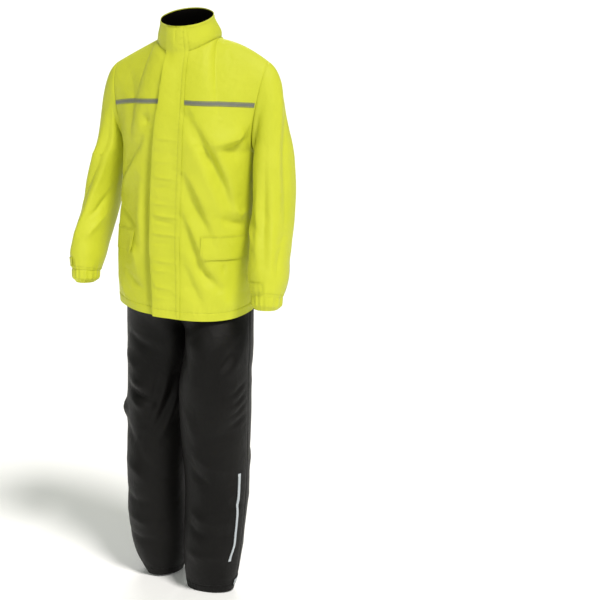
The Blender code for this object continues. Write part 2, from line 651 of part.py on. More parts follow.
def collar_grid(neck, rows):
    """Collar from the neckline up to its rim, which tips down at the front."""
    around = arc_fraction(neck)
    turn = 2.0 * np.pi * around
    tilt = (1.0 - np.cos(turn)) / 2.0
    rim = np.stack([
        RIM_RADIUS * np.sin(turn), RIM_MIDDLE_Y - RIM_RADIUS * np.cos(turn),
        RIM_FRONT_HEIGHT + (RIM_BACK_HEIGHT - RIM_FRONT_HEIGHT) * tilt], -1)
    t = np.array(rows)[:, None, None]
    lean = np.array(COLLAR_RISE) + outwards(np.degrees(turn)) * COLLAR_FLARE
    rise = np.array(RIM_RISE)
    return hermite(neck[None], rim[None], lean[None], rise[None, None], t)


def build_collar(left, right, back, left_n, right_n):
    """Stand collar with its dark lining, the zip and the storm flap over it."""
    rows = np.linspace(0.0, 1.0, COLLAR_ROWS)
    grid = collar_grid(collar_columns(left, right, back), rows)
    normals = grid_normals(grid, False)
    normals[:, 0] = normals[:, -1] = share_normals(normals[:, 0], normals[:, -1])
    outer = inset(inset(grid, ("bottom",), NECK_GAP), ("left", "right"))
    inner = inset(inset(grid - normals * WALL, ("bottom",), NECK_GAP), ("left", "right"))
    add_sheet("collar", outer, inner, "yellow_cloth")
    lining = inset(grid - normals * (WALL + LIFT), ("bottom", "top"), LINING_INSET)
    lining = inset(lining, ("left", "right"))
    add_sheet("collar_lining", lining, inset(lining - normals * TRIM, ("left", "right")), "dark_lining")

    down = np.concatenate([right[:, -3:], left[:, 1:4]], 1)
    up = np.concatenate([grid[:, -3:], grid[:, 1:4]], 1)
    down_n = np.concatenate([right_n[:, -3:], left_n[:, 1:4]], 1)
    up_n = np.concatenate([normals[:, -3:], normals[:, 1:4]], 1)
    front = np.concatenate([down[:-1], (down[-1:] + up[:1]) / 2, up[1:]])
    front_n = np.concatenate([down_n[:-1], share_normals(down_n[-1:], up_n[:1]), up_n[1:]])
    front = inset(front, ("bottom", "top"), FRONT_STRIP_INSET)
    add_overlay("front_zip", front[:, 1:4], front_n[:, 1:4], "zip_tape", lift=ZIP_LIFT)
    add_overlay("storm_flap", front, front_n, "yellow_cloth",
                lift=np.broadcast_to(FLAP_LIFT, front.shape[:2]), wall=WALL)


def build_pockets(left, right, left_n, right_n):
    """Pocket flaps, sewn along the top and standing a little off the jacket below."""
    rows = slice(POCKET_ROWS[0], POCKET_ROWS[1] + 1)
    lift = np.array(POCKET_LIFT)[:, None]
    for name, grid, normals in (
        ("pocket_flap_left", left[rows, 5:10], left_n[rows, 5:10]),
        ("pocket_flap_right", right[rows, 1:6], right_n[rows, 1:6]),
    ):
        add_overlay(name, grid, normals, "yellow_cloth",
                    lift=np.broadcast_to(lift, grid.shape[:2]), wall=WALL)


def between_columns(grid, at):
    """Points of a grid at fractional column numbers, on its straight edges."""
    low = np.clip(np.floor(at).astype(int), 0, grid.shape[1] - 2)
    t = (at - low)[None, :, None]
    return grid[:, low] * (1.0 - t) + grid[:, low + 1] * t


def build_casing(back, back_n):
    """Elastic casing across the back of the waist, drawn up in even gathers."""
    rows = slice(CASING_ROWS[0], CASING_ROWS[1] + 1)
    at = np.linspace(*CASING_COLUMNS, 3 * CASING_GATHERS + 1)
    grid = between_columns(back[rows], at)
    normals = between_columns(back_n[rows], at)
    low, high = CASING_LIFT
    wave = np.where(np.arange(len(at)) % 3 == 1, high, low)
    lift = np.broadcast_to(wave, grid.shape[:2])
    add_overlay("waist_casing", grid, normals, "yellow_cloth", lift=lift, wall=WALL)


def build_sleeve(side, grid, normals, tape):
    """One sleeve with its tape, elastic cuff and cuff tab."""
    name = "left" if side > 0 else "right"
    place = (lambda array: array) if side > 0 else mirrored

    def put(label, outer, inner, material, closed):
        add_sheet(f"{label}_{name}", place(outer), place(inner), material, closed)

    outside, inside = (
        inset(inset(face, ("top",), ARMHOLE_INSET), ("bottom",), CUFF_INSET)
        for face in (grid[CUFF_ROWS:], grid[CUFF_ROWS:] - normals[CUFF_ROWS:] * WALL)
    )
    put("sleeve", outside, inside, "yellow_cloth", True)

    strip = np.s_[CUFF_ROWS + 1:-1, tape:tape + 2]
    under = grid[strip] + normals[strip] * LIFT
    put("sleeve_tape", under + normals[strip] * TRIM, under, "grey_tape", False)

    at = np.arange(3 * CUFF_GATHERS) * grid.shape[1] / (3 * CUFF_GATHERS)
    loop = np.concatenate([grid[:CUFF_ROWS + 1], grid[:CUFF_ROWS + 1, :1]], 1)
    cuff = between_columns(loop, at)
    cuff_n = grid_normals(cuff, True)
    wave = np.where(np.arange(len(at)) % 3 == 1, CUFF_SWELL, 0.0)[None, :, None]
    outer = cuff + cuff_n * wave * np.array(CUFF_SWELL_ROWS)[:, None, None]
    put("cuff", outer, outer - cuff_n * WALL, "yellow_cloth", True)

    tab_columns = CUFF_TAB_COLUMNS[side]
    tab = np.s_[CUFF_TAB_ROWS[0]:CUFF_TAB_ROWS[1] + 1, tab_columns[0]:tab_columns[1] + 1]
    under = grid[tab] + normals[tab] * LIFT
    put("cuff_tab", under + normals[tab] * TRIM, under, "yellow_cloth", False)


def build_trousers():
    """Four panels, the waistband, and the reflective pieces of both legs."""
    grids = {
        ("front", 1): trouser_grid(STRIPE_COLUMNS, 1, False),
        ("back", 1): trouser_grid(PLAIN_COLUMNS, 1, True),
        ("front", -1): trouser_grid(PLAIN_COLUMNS, -1, False),
        ("back", -1): trouser_grid(LATE_STRIPE_COLUMNS, -1, True),
    }
    normals = {key: grid_normals(grid, False) for key, grid in grids.items()}
    for sign, outer_edge, inner_edge in ((1, (-1, 0), (0, -1)), (-1, (0, -1), (-1, 0))):
        front = normals["front", sign]
        back = normals["back", sign]
        for a, b in (outer_edge, inner_edge):
            shared = share_normals(front[:, a], back[:, b])
            front[:, a] = shared
            back[:, b] = shared
    crotch = LEG_HEIGHTS.index(CROTCH_HEIGHT)
    for face, left_edge, right_edge in (("front", 0, -1), ("back", -1, 0)):
        one = grid_normals(grids[face, 1], False)[crotch:, left_edge]
        other = grid_normals(grids[face, -1], False)[crotch:, right_edge]
        shared = share_normals(one, other)
        normals[face, 1][crotch:, left_edge] = shared
        normals[face, -1][crotch:, right_edge] = shared
        normals[face, 1][crotch, left_edge] = normals[face, -1][crotch, right_edge] = (0.0, 0.0, -1.0)
    for (face, sign), grid in grids.items():
        side = "left" if sign > 0 else "right"
        add_panel(f"trouser_{face}_{side}", grid, normals[face, sign], "dark_cloth", ("left", "right", "top"))

    stripe = np.s_[STRIPE_ROWS[0]:STRIPE_ROWS[1] + 1, STRIPE_BAND]
    add_overlay("leg_stripe_left", grids["front", 1][stripe], normals["front", 1][stripe], "silver_tape")
    add_overlay("leg_stripe_right", grids["back", -1][stripe], normals["back", -1][stripe], "silver_tape")

    rows = slice(LEFT_TAB_ROWS[0], LEFT_TAB_ROWS[1] + 1)
    cells, cell_n = (np.concatenate([part["front", 1][rows, -2:], part["back", 1][rows, 1:4]], 1)
                     for part in (grids, normals))
    build_ankle_tab("left", cells, cell_n, LEFT_TAB_INSET)
    tab = np.s_[RIGHT_TAB_ROWS[0]:RIGHT_TAB_ROWS[1] + 1, RIGHT_TAB_COLUMNS[0]:RIGHT_TAB_COLUMNS[1] + 1]
    build_ankle_tab("right", grids["back", -1][tab], normals["back", -1][tab], RIGHT_TAB_INSET)
    build_waistband()


def build_ankle_tab(side, cells, normals, end):
    """Tab that draws in the hem of one leg, with its reflective patch."""
    tab = inset(cells, ("left", "right"), end)
    add_overlay(f"ankle_tab_{side}", tab, normals, "dark_cloth")
    patch = inset(inset(cells, ("left", "right"), end + PATCH_INSET), ("top", "bottom"), PATCH_EDGE)
    add_overlay(f"ankle_patch_{side}", patch, normals, "silver_tape", lift=3 * LIFT + TRIM)


def build_waistband():
    """Elastic band round the top of the trousers."""
    rise = np.array([0.0, 0.5, 1.0])[:, None]
    angle = np.linspace(0.0, 360.0, WAISTBAND_COLUMNS + 1)[None, :-1] + 0.0 * rise
    height = LEG_HEIGHTS[-1] + SEAM_INSET + WAISTBAND_HEIGHT * rise + 0.0 * angle
    band = ring_point(PELVIS, angle, height, PELVIS_POWER)
    band[..., 2] = height
    add_sheet("trouser_waistband", band, band - grid_normals(band, True) * WAISTBAND_WALL, "dark_cloth", True)


def main():
    """Build every piece in a collection of its own."""
    for item in list(bpy.data.objects):
        bpy.data.objects.remove(item, do_unlink=True)
    collection = bpy.data.collections.new("rain_suit")
    bpy.context.scene.collection.children.link(collection)
    build_jacket()
    build_trousers()


main()
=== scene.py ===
"""Dressed model of a rain suit: a high-visibility jacket over dark trousers, standing as worn.

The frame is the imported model: metres, +Z up, the front faces -Y and the wearer's left is +X. Tables
hold heights above the trouser hems, and angles in degrees from the front towards the wearer's left.
Every sheet of cloth is a grid of points worked out as whole arrays, given its folds, and closed into
a thin shell. What is sewn on a sheet is read off that sheet's own grid and moved out.
"""
from __future__ import annotations

import logging
import math
from dataclasses import dataclass
from enum import Enum

import bpy
import numpy as np
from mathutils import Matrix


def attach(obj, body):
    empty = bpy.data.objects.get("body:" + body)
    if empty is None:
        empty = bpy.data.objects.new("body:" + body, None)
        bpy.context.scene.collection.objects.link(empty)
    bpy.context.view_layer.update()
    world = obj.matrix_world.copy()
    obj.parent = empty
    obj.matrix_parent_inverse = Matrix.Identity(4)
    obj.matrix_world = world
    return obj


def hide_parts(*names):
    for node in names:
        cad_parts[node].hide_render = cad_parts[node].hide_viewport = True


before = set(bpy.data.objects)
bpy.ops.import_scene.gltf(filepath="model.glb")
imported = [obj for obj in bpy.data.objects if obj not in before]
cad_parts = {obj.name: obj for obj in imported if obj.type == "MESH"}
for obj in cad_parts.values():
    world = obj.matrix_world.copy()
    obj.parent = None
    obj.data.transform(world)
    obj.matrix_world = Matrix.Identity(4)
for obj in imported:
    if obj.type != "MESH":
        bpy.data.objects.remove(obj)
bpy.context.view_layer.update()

LOG = logging.getLogger("rain_suit")
Grid = np.ndarray

HOLD_HEIGHT = 1.50
WALL = 0.0012
TRIM = 0.0008
LIFT = 0.0004
UNDERARM_HEIGHT = 1.235
CROTCH_HEIGHT = 0.70
RISE_START = 0.825
BODY_ARC = 0.165
SLEEVE_ARC = 0.062
LEG_ARC = 0.090

# the body's cubic leaves the underarm and arrives at its top edge in these directions: share across,
# towards the front or back that it faces, and up
LEAVE_MIDDLE = (0.0, 0.005, 0.27)
LEAVE_SIDE = (0.02, 0.16, 0.10)
ARRIVE_MIDDLE = (0.0, -0.075, 0.25)
ARRIVE_SIDE = (-0.02, -0.19, 0.05)
# the sleeve's cap arrives at the armhole in these directions, weaker towards the front
CAP_INWARDS = np.array([-0.85, 0.0, 0.50])
CAP_FROM_BELOW = np.array([-0.6, 0.0, 0.8])
RING_TILT = 0.6
HIP_POWER = 2.1
# height, half width, front depth, back depth
TORSO = np.array([
    (0.74, 0.194, 0.154, 0.146),
    (0.80, 0.192, 0.151, 0.143),
    (0.95, 0.189, 0.143, 0.134),
    (1.07, 0.187, 0.137, 0.120),
    (1.16, 0.187, 0.136, 0.123),
    (1.26, 0.186, 0.132, 0.124),
])
# angle, hem height
FRONT_HEM = np.array([(-90, 0.806), (-60, 0.803), (-20, 0.793), (15, 0.785), (55, 0.787), (90, 0.802)])
BACK_HEM = np.array([(90, 0.802), (105, 0.786), (160, 0.776), (185, 0.783), (215, 0.776), (255, 0.786),
                     (270, 0.806)])
# height, middle x, middle y, half width, half depth
LEFT_SLEEVE = np.array([
    (0.830, 0.273, -0.100, 0.037, 0.045),
    (0.864, 0.271, -0.091, 0.039, 0.049),
    (0.895, 0.267, -0.078, 0.050, 0.060),
    (0.960, 0.260, -0.050, 0.052, 0.068),
    (1.040, 0.251, -0.015, 0.052, 0.074),
    (1.120, 0.246, 0.004, 0.051, 0.077),
    (1.200, 0.241, 0.012, 0.049, 0.076),
])
RIGHT_SLEEVE = np.array([
    (0.850, 0.275, -0.092, 0.031, 0.044),
    (0.884, 0.278, -0.084, 0.034, 0.049),
    (0.912, 0.280, -0.072, 0.043, 0.061),
    (0.960, 0.279, -0.052, 0.045, 0.070),
    (1.040, 0.267, -0.020, 0.043, 0.075),
    (1.120, 0.256, 0.002, 0.044, 0.077),
    (1.200, 0.241, 0.012, 0.047, 0.076),
])
LEFT_LEG = np.array([
    (0.00, 0.088, -0.049, 0.068, 0.045),
    (0.05, 0.091, -0.050, 0.077, 0.062),
    (0.10, 0.094, -0.049, 0.081, 0.076),
    (0.28, 0.100, -0.034, 0.087, 0.094),
    (0.49, 0.099, -0.042, 0.096, 0.106),
    (0.62, 0.099, -0.044, 0.0975, 0.112),
    (0.665, 0.099, -0.040, 0.0975, 0.113),
    (0.70, 0.098, -0.034, 0.098, 0.114),
])
RIGHT_LEG = np.array([
    (0.00, 0.088, 0.020, 0.046, 0.068),
    (0.05, 0.092, 0.016, 0.072, 0.080),
    (0.10, 0.096, 0.013, 0.083, 0.088),
    (0.18, 0.099, 0.007, 0.088, 0.092),
    (0.28, 0.100, 0.004, 0.087, 0.096),
    (0.49, 0.099, 0.024, 0.095, 0.106),
    (0.62, 0.099, 0.034, 0.0975, 0.112),
    (0.665, 0.099, 0.036, 0.0975, 0.113),
    (0.70, 0.098, 0.034, 0.098, 0.114),
])
# height, half width, front depth, back depth
PELVIS = np.array([
    (0.70, 0.180, 0.130, 0.130),
    (0.79, 0.180, 0.132, 0.132),
    (0.88, 0.174, 0.124, 0.124),
    (0.97, 0.166, 0.114, 0.112),
    (1.03, 0.160, 0.110, 0.104),
])


class Side(Enum):
    """The wearer's two sides, as the sign of X."""

    LEFT = 1
    RIGHT = -1

    @property
    def label(self) -> str:
        """Ending of a piece's name on this side."""
        return self.name.lower()


class Slot(Enum):
    """Finishes that the record has a material slot for."""

    YELLOW = "yellow_cloth"
    DARK = "dark_cloth"
    LINING = "dark_lining"
    GREY_TAPE = "grey_tape"
    SILVER_TAPE = "silver_tape"
    ZIP = "zip_tape"


def smoothstep(t: Grid) -> Grid:
    """Ease from 0 to 1 with the curve 3t^2 - 2t^3.

    Args:
        t: Positions, clipped to 0..1.

    Returns:
        Eased positions.
    """
    t = np.clip(t, 0.0, 1.0)
    return t * t * (3.0 - 2.0 * t)


def table_at(table: Grid, at: Grid) -> Grid:
    """Read a table along a smooth cubic curve through its rows.

    Args:
        table: Rows of a key and its values.
        at: Keys to read at.

    Returns:
        The values at each key, on a new last axis.
    """
    keys = table[:, 0]
    values = table[:, 1:]
    slopes = np.gradient(values, keys, axis=0)
    at = np.clip(np.asarray(at, float), keys[0], keys[-1])
    k = np.clip(np.searchsorted(keys, at, side="right") - 1, 0, len(keys) - 2)
    step = (keys[k + 1] - keys[k])[..., None]
    t = (at - keys[k])[..., None] / step
    return hermite(values[k], values[k + 1], step * slopes[k], step * slopes[k + 1], t)


def hermite(start: Grid, end: Grid, leave: Grid, arrive: Grid, t: Grid) -> Grid:
    """Cubic from start to end with a given direction at both ends.

    Args:
        start: Points at t = 0.
        end: Points at t = 1.
        leave: Direction at t = 0.
        arrive: Direction at t = 1.
        t: Positions on the curve.

    Returns:
        Points of the curve.
    """
    return ((2 * t**3 - 3 * t**2 + 1) * start + (t**3 - 2 * t**2 + t) * leave
            + (3 * t**2 - 2 * t**3) * end + (t**3 - t**2) * arrive)


def outwards(angle: Grid) -> Grid:
    """Level direction away from the middle: (sin a, -cos a, 0).

    Args:
        angle: Angles in degrees.

    Returns:
        Directions.
    """
    angle = np.radians(angle)
    return np.stack([np.sin(angle), -np.cos(angle), 0.0 * angle], -1)


def ring_point(table: Grid, angle: Grid, height: Grid, power: float) -> Grid:
    """Point of a rounded ring, x = w |sin a|^(2/p) and y = -d |cos a|^(2/p), signs kept.

    Args:
        table: Height, half width, front depth and back depth.
        angle: Angles in degrees.
        height: Heights above the trouser hems.
        power: Roundness of the ring, 2 for an ellipse.

    Returns:
        Points of the ring.
    """
    half_width, front, back = np.moveaxis(table_at(table, height), -1, 0)
    sine = np.sin(np.radians(angle))
    cosine = np.cos(np.radians(angle))
    depth = np.where(cosine >= 0, front, back)
    x = half_width * np.sign(sine) * np.abs(sine) ** (2 / power)
    y = -depth * np.sign(cosine) * np.abs(cosine) ** (2 / power)
    return np.stack([x, y, height + 0.0 * x], -1)


def lengths_along(points: Grid, axis: int = 0) -> Grid:
    """Length run along each row or column of a grid, or along a line: 0 at its first point.

    Args:
        points: Points on the last axis.
        axis: Axis to run along.

    Returns:
        Lengths in metres.
    """
    steps = np.linalg.norm(np.diff(points, axis=axis), axis=-1)
    return np.concatenate([np.zeros_like(np.take(steps, [0], axis)), steps.cumsum(axis)], axis)


def arc_fraction(points: Grid) -> Grid:
    """Length along a line of points as a share of the whole, from 0 to 1."""
    steps = np.linalg.norm(np.diff(points, axis=0), axis=-1)
    return np.concatenate([[0.0], np.cumsum(steps)]) / steps.sum()


def spaced(start: float, end: float, step: float, edges: tuple[float, ...] = (0.15, 0.35, 0.65)) -> Grid:
    """Even positions from start to end, with closer ones beside both ends.

    Args:
        start: First position.
        end: Last position.
        step: Spacing between neighbours.
        edges: Further positions beside each end, as shares of a step.

    Returns:
        Rising positions.
    """
    even = np.linspace(start, end, max(2, round((end - start) / step) + 1))
    beside = np.array(edges) * step
    return np.unique(np.round(np.concatenate([even, start + beside, end - beside]), 7))


@dataclass(frozen=True)
class Fold:
    """A soft ridge or trough along a bent line on the cloth laid flat.

    Its height across the line is push * exp(-(d / w)^1.6), where d is the distance from the line and
    w the half width on that side, and it fades towards both ends of the line as a sine.
    """

    line: tuple[tuple[float, float], ...]
    left: float
    right: float
    push: float

    def height_at(self, across: Grid, up: Grid, start: float, arc: float) -> Grid:
        """Push outwards at places on the cloth.

        Args:
            across: Distances across the cloth from the fold's first point, in metres.
            up: Heights of the same places.
            start: Angle of the fold's first point.
            arc: Metres for each radian of the angle.

        Returns:
            Distances to push out.
        """
        points = np.array([((a - start) * math.pi / 180.0 * arc, h) for a, h in self.line])
        steps = np.diff(points, axis=0)
        lengths = np.hypot(*steps.T)
        total = lengths.sum()
        done = 0.0
        best = np.full(across.shape, np.inf)
        along = np.zeros(across.shape)
        side = np.zeros(across.shape)
        for point, step, length in zip(points[:-1], steps, lengths):
            dx = across - point[0]
            dz = up - point[1]
            t = np.clip((dx * step[0] + dz * step[1]) / length**2, 0.0, 1.0)
            away = np.hypot(dx - t * step[0], dz - t * step[1])
            near = away < best
            best = np.where(near, away, best)
            along = np.where(near, (done + t * length) / total, along)
            side = np.where(near, step[0] * dz - step[1] * dx, side)
            done += length
        width = np.where(side > 0, self.left, self.right)
        ends = np.sin(np.pi * np.clip(along, 0.07, 0.93)) ** 0.8
        return self.push * ends * np.exp(-(best / width) ** 1.6)


def folds(*rows: tuple[float, ...]) -> tuple[Fold, ...]:
    """Folds from rows of numbers.

    Args:
        rows: Push, half widths on the left and right, then the angle and height of each point.

    Returns:
        The folds.
    """
    return tuple(Fold(tuple(zip(row[3::2], row[4::2])), row[1], row[2], row[0]) for row in rows)


@dataclass(frozen=True)
class Cloth:
    """A sheet of cloth as a grid: rows run up it and columns across it, faces outwards."""

    points: Grid
    across: Grid
    up: Grid
    closed: bool = False

    @property
    def normals(self) -> Grid:
        """Directions away from the cloth: the cross product of its two grid directions."""
        if self.closed:
            along = np.roll(self.points, -1, 1) - np.roll(self.points, 1, 1)
        else:
            along = np.gradient(self.points, axis=1)
        normals = np.cross(along, np.gradient(self.points, axis=0))
        return normals / np.maximum(np.linalg.norm(normals, axis=-1, keepdims=True), 1e-12)

    def pushed(self, amount: Grid) -> Cloth:
        """The same sheet with each point moved along its own direction.

        Args:
            amount: Distance to move out at each point.

        Returns:
            The moved sheet.
        """
        amount = np.broadcast_to(amount, self.points.shape[:2])
        return Cloth(self.points + self.normals * amount[..., None], self.across, self.up, self.closed)

    def folded(self, folds: tuple[Fold, ...], arc: float, share: Grid | float = 1.0) -> Cloth:
        """The same sheet with folds pushed in and out.

        Args:
            folds: Ridges and troughs.
            arc: Metres for each radian of the columns' angle.
            share: Part of each fold's height that is used at each point.

        Returns:
            The folded sheet.
        """
        angle = np.broadcast_to(self.across[None, :], self.points.shape[:2])
        height = self.points[..., 2]
        push = np.zeros(angle.shape)
        for fold in folds:
            start = fold.line[0][0]
            turn = np.radians((angle - start + 180.0) % 360.0 - 180.0) * arc
            push += fold.height_at(turn, height, start, arc)
        return self.pushed(push * share)

    def at(self, across: Grid, up: Grid, lift: Grid | float = 0.0) -> Grid:
        """Points of the cloth between its grid points, moved out.

        Args:
            across: Column positions, as the sheet's own.
            up: Row positions, as the sheet's own.
            lift: Distance to move out.

        Returns:
            Points.
        """
        across, up, lift = np.broadcast_arrays(np.asarray(across, float), np.asarray(up, float), lift)
        points, normals, columns = self.points, self.normals, self.across
        if self.closed:
            points = np.concatenate([points, points[:, :1]], 1)
            normals = np.concatenate([normals, normals[:, :1]], 1)
            columns = np.append(columns, columns[0] + 360.0)
            across = (across - columns[0]) % 360.0 + columns[0]
        j = np.interp(across, columns, np.arange(len(columns)))
        i = np.interp(up, self.up, np.arange(len(self.up)))
        j0 = np.clip(np.floor(j).astype(int), 0, len(columns) - 2)
        i0 = np.clip(np.floor(i).astype(int), 0, len(self.up) - 2)
        tj = (j - j0)[..., None]
        ti = (i - i0)[..., None]

        def read(values: Grid) -> Grid:
            """Mix of the four grid points around each place."""
            low = values[i0, j0] * (1 - tj) + values[i0, j0 + 1] * tj
            high = values[i0 + 1, j0] * (1 - tj) + values[i0 + 1, j0 + 1] * tj
            return low * (1 - ti) + high * ti

        return read(points) + read(normals) * lift[..., None]

    def up_at(self, across: Grid, height: Grid) -> Grid:
        """Row positions at which the cloth passes given heights.

        Args:
            across: Column positions.
            height: Heights above the trouser hems.

        Returns:
            Row positions.
        """
        across, height = np.broadcast_arrays(np.asarray(across, float), np.asarray(height, float))
        j = np.interp(across.ravel(), self.across, np.arange(len(self.across)))
        j0 = np.clip(np.floor(j).astype(int), 0, len(self.across) - 2)
        t = j - j0
        z = self.points[..., 2]
        column = z[:, j0] * (1 - t) + z[:, j0 + 1] * t
        row = np.clip((column < height.ravel()).sum(0) - 1, 0, len(self.up) - 2)
        pick = np.arange(len(j))
        low = column[row, pick]
        share = np.clip((height.ravel() - low) / np.maximum(column[row + 1, pick] - low, 1e-9), 0.0, 1.0)
        return (self.up[row] + share * (self.up[row + 1] - self.up[row])).reshape(height.shape)

    def cut(self) -> tuple[float, float, float]:
        """Width, length and area of the cloth laid flat: its longest row and column, and its faces."""
        points = np.concatenate([self.points, self.points[:, :1]], 1) if self.closed else self.points
        width = np.linalg.norm(np.diff(points, axis=1), axis=-1).sum(1).max()
        length = np.linalg.norm(np.diff(points, axis=0), axis=-1).sum(0).max()
        one = points[1:, 1:] - points[:-1, :-1]
        other = points[1:, :-1] - points[:-1, 1:]
        area = 0.5 * np.linalg.norm(np.cross(one, other), axis=-1).sum()
        return float(width), float(length), float(area)


def shell_mesh(name: str, outer: Grid, inner: Grid, closed: bool) -> bpy.types.Mesh:
    """Closed thin shell between two grids, with its two cloth directions in metres as a UV map.

    Args:
        name: Name of the mesh.
        outer: Points of the outer face.
        inner: Points of the inner face.
        closed: Whether the columns run all round.

    Returns:
        The mesh.
    """
    rows, columns = outer.shape[:2]
    wide = columns if closed else columns - 1
    half = rows * columns
    i, j = np.meshgrid(np.arange(rows - 1), np.arange(wide), indexing="ij")
    face_rows = np.stack([i, i, i + 1, i + 1], -1).reshape(-1, 4)
    face_columns = np.stack([j, j + 1, j + 1, j], -1).reshape(-1, 4)
    index = face_rows * columns + face_columns % columns
    corner = [index, (index + half)[:, ::-1]]
    uv_rows = [face_rows, face_rows[:, ::-1]]
    uv_columns = [face_columns, face_columns[:, ::-1]]
    k = np.arange(wide)
    for row, turn in ((0, 1), (rows - 1, -1)):
        first = row * columns + k % columns
        second = row * columns + (k + 1) % columns
        corner.append(np.stack([half + first, half + second, second, first], -1)[:, ::turn])
        uv_rows.append(np.full((wide, 4), row))
        uv_columns.append(np.stack([k, k + 1, k + 1, k], -1)[:, ::turn])
    if not closed:
        k = np.arange(rows - 1)
        for column, turn in ((0, 1), (columns - 1, -1)):
            first = k * columns + column
            second = first + columns
            corner.append(np.stack([first, second, half + second, half + first], -1)[:, ::turn])
            uv_rows.append(np.stack([k, k + 1, k + 1, k], -1)[:, ::turn])
            uv_columns.append(np.full((rows - 1, 4), column))
    corner = np.concatenate(corner)
    points = np.concatenate([outer.reshape(-1, 3), inner.reshape(-1, 3)])
    points[:, 2] -= HOLD_HEIGHT
    mesh = bpy.data.meshes.new(name)
    mesh.from_pydata(points.tolist(), [], corner.tolist())
    looped = np.concatenate([outer, outer[:, :1]], 1) if closed else outer
    u = lengths_along(looped, 1)
    u = u - u[:, -1:] / 2.0
    v = lengths_along(outer)
    v = np.concatenate([v, v[:, :1]], 1) if closed else v
    pick = (np.concatenate(uv_rows).ravel(), np.concatenate(uv_columns).ravel())
    layer = mesh.uv_layers.new(name="cloth")
    layer.data.foreach_set("uv", np.stack([u[pick], v[pick]], -1).astype(np.float32).ravel())
    mesh.polygons.foreach_set("use_smooth", np.ones(len(corner), bool))
    mesh.set_sharp_from_angle(angle=math.radians(60.0))
    mesh.update()
    return mesh


@dataclass(frozen=True)
class Piece:
    """A finished piece: its name, its finish, and the nodes that it stands for."""

    name: str
    finish: Finish
    nodes: tuple[str, ...] = ()

    def put(self, mesh: bpy.types.Mesh) -> bpy.types.Object:
        """Place a mesh in the scene as this piece.

        Args:
            mesh: The piece's mesh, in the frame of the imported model.

        Returns:
            The piece.
        """
        mesh.materials.append(self.finish.material())
        piece = bpy.data.objects.new(self.name, mesh)
        bpy.context.scene.collection.objects.link(piece)
        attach(piece, "root")
        if self.nodes:
            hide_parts(*self.nodes)
        LOG.info("%s: %d faces", self.name, len(mesh.polygons))
        return piece

    def sheet(self, cloth: Cloth, wall: float = WALL, held: str = "hung", on: tuple[str, ...] = ()) -> None:
        """Place a sheet of cloth with a wall inwards from its points, and log its cut.

        Args:
            cloth: The outer face.
            wall: Thickness.
            held: How the cloth is held. Not used.
            on: Pieces that it lies on. Not used.
        """
        outer = cloth.points
        inner = outer - cloth.normals * wall
        piece = self.put(shell_mesh(self.name, outer, inner, cloth.closed))
        width, length, area = cloth.cut()
        area = min(area, width * length)
        LOG.info("%s: cut %.3f by %.3f m, %.4f square metres", self.name, width, length, area)


def fill(tree: bpy.types.NodeTree, socket: bpy.types.NodeSocket, value: object) -> None:
    """Set a node's input to a value, or link it to another node's output."""
    if isinstance(value, bpy.types.NodeSocket):
        tree.links.new(value, socket)
    else:
        socket.default_value = value


def add_node(tree: bpy.types.NodeTree, kind: str, **inputs: object) -> bpy.types.Node:
    """Add a shader node and fill its inputs.

    Args:
        tree: Tree that gets the node.
        kind: Type of the node, without its prefix.
        inputs: Values or sockets for its inputs, by name with _ for a space, or by number after "i".

    Returns:
        The node.
    """
    node = tree.nodes.new(f"ShaderNode{kind}")
    for name, value in inputs.items():
        numbered = name[0] == "i" and name[1:].isdigit()
        fill(tree, node.inputs[int(name[1:]) if numbered else name.replace("_", " ")], value)
    return node


def math_node(tree: bpy.types.NodeTree, operation: str, *values: object) -> bpy.types.NodeSocket:
    """Add a math node and return its output.

    Args:
        tree: Tree that gets the node.
        operation: Name of the operation.
        values: Numbers or sockets.

    Returns:
        The result.
    """
    node = tree.nodes.new("ShaderNodeMath")
    node.operation = operation
    for socket, value in zip(node.inputs, values):
        fill(tree, socket, value)
    return node.outputs[0]


def new_group(name: str, inputs: dict[str, float]) -> tuple[
        bpy.types.NodeTree, bpy.types.Node, bpy.types.Node]:
    """Start a shader node group of plain numbers, with the outputs Height and Tone.

    Args:
        name: Name of the group.
        inputs: Its inputs and their usual values.

    Returns:
        The group, and its input and output nodes.
    """
    tree = bpy.data.node_groups.new(name, "ShaderNodeTree")
    for label, value in inputs.items():
        socket = tree.interface.new_socket(label, in_out="INPUT", socket_type="NodeSocketFloat")
        socket.default_value = value
    for label in ("Height", "Tone"):
        tree.interface.new_socket(label, in_out="OUTPUT", socket_type="NodeSocketFloat")
    return tree, tree.nodes.new("NodeGroupInput"), tree.nodes.new("NodeGroupOutput")


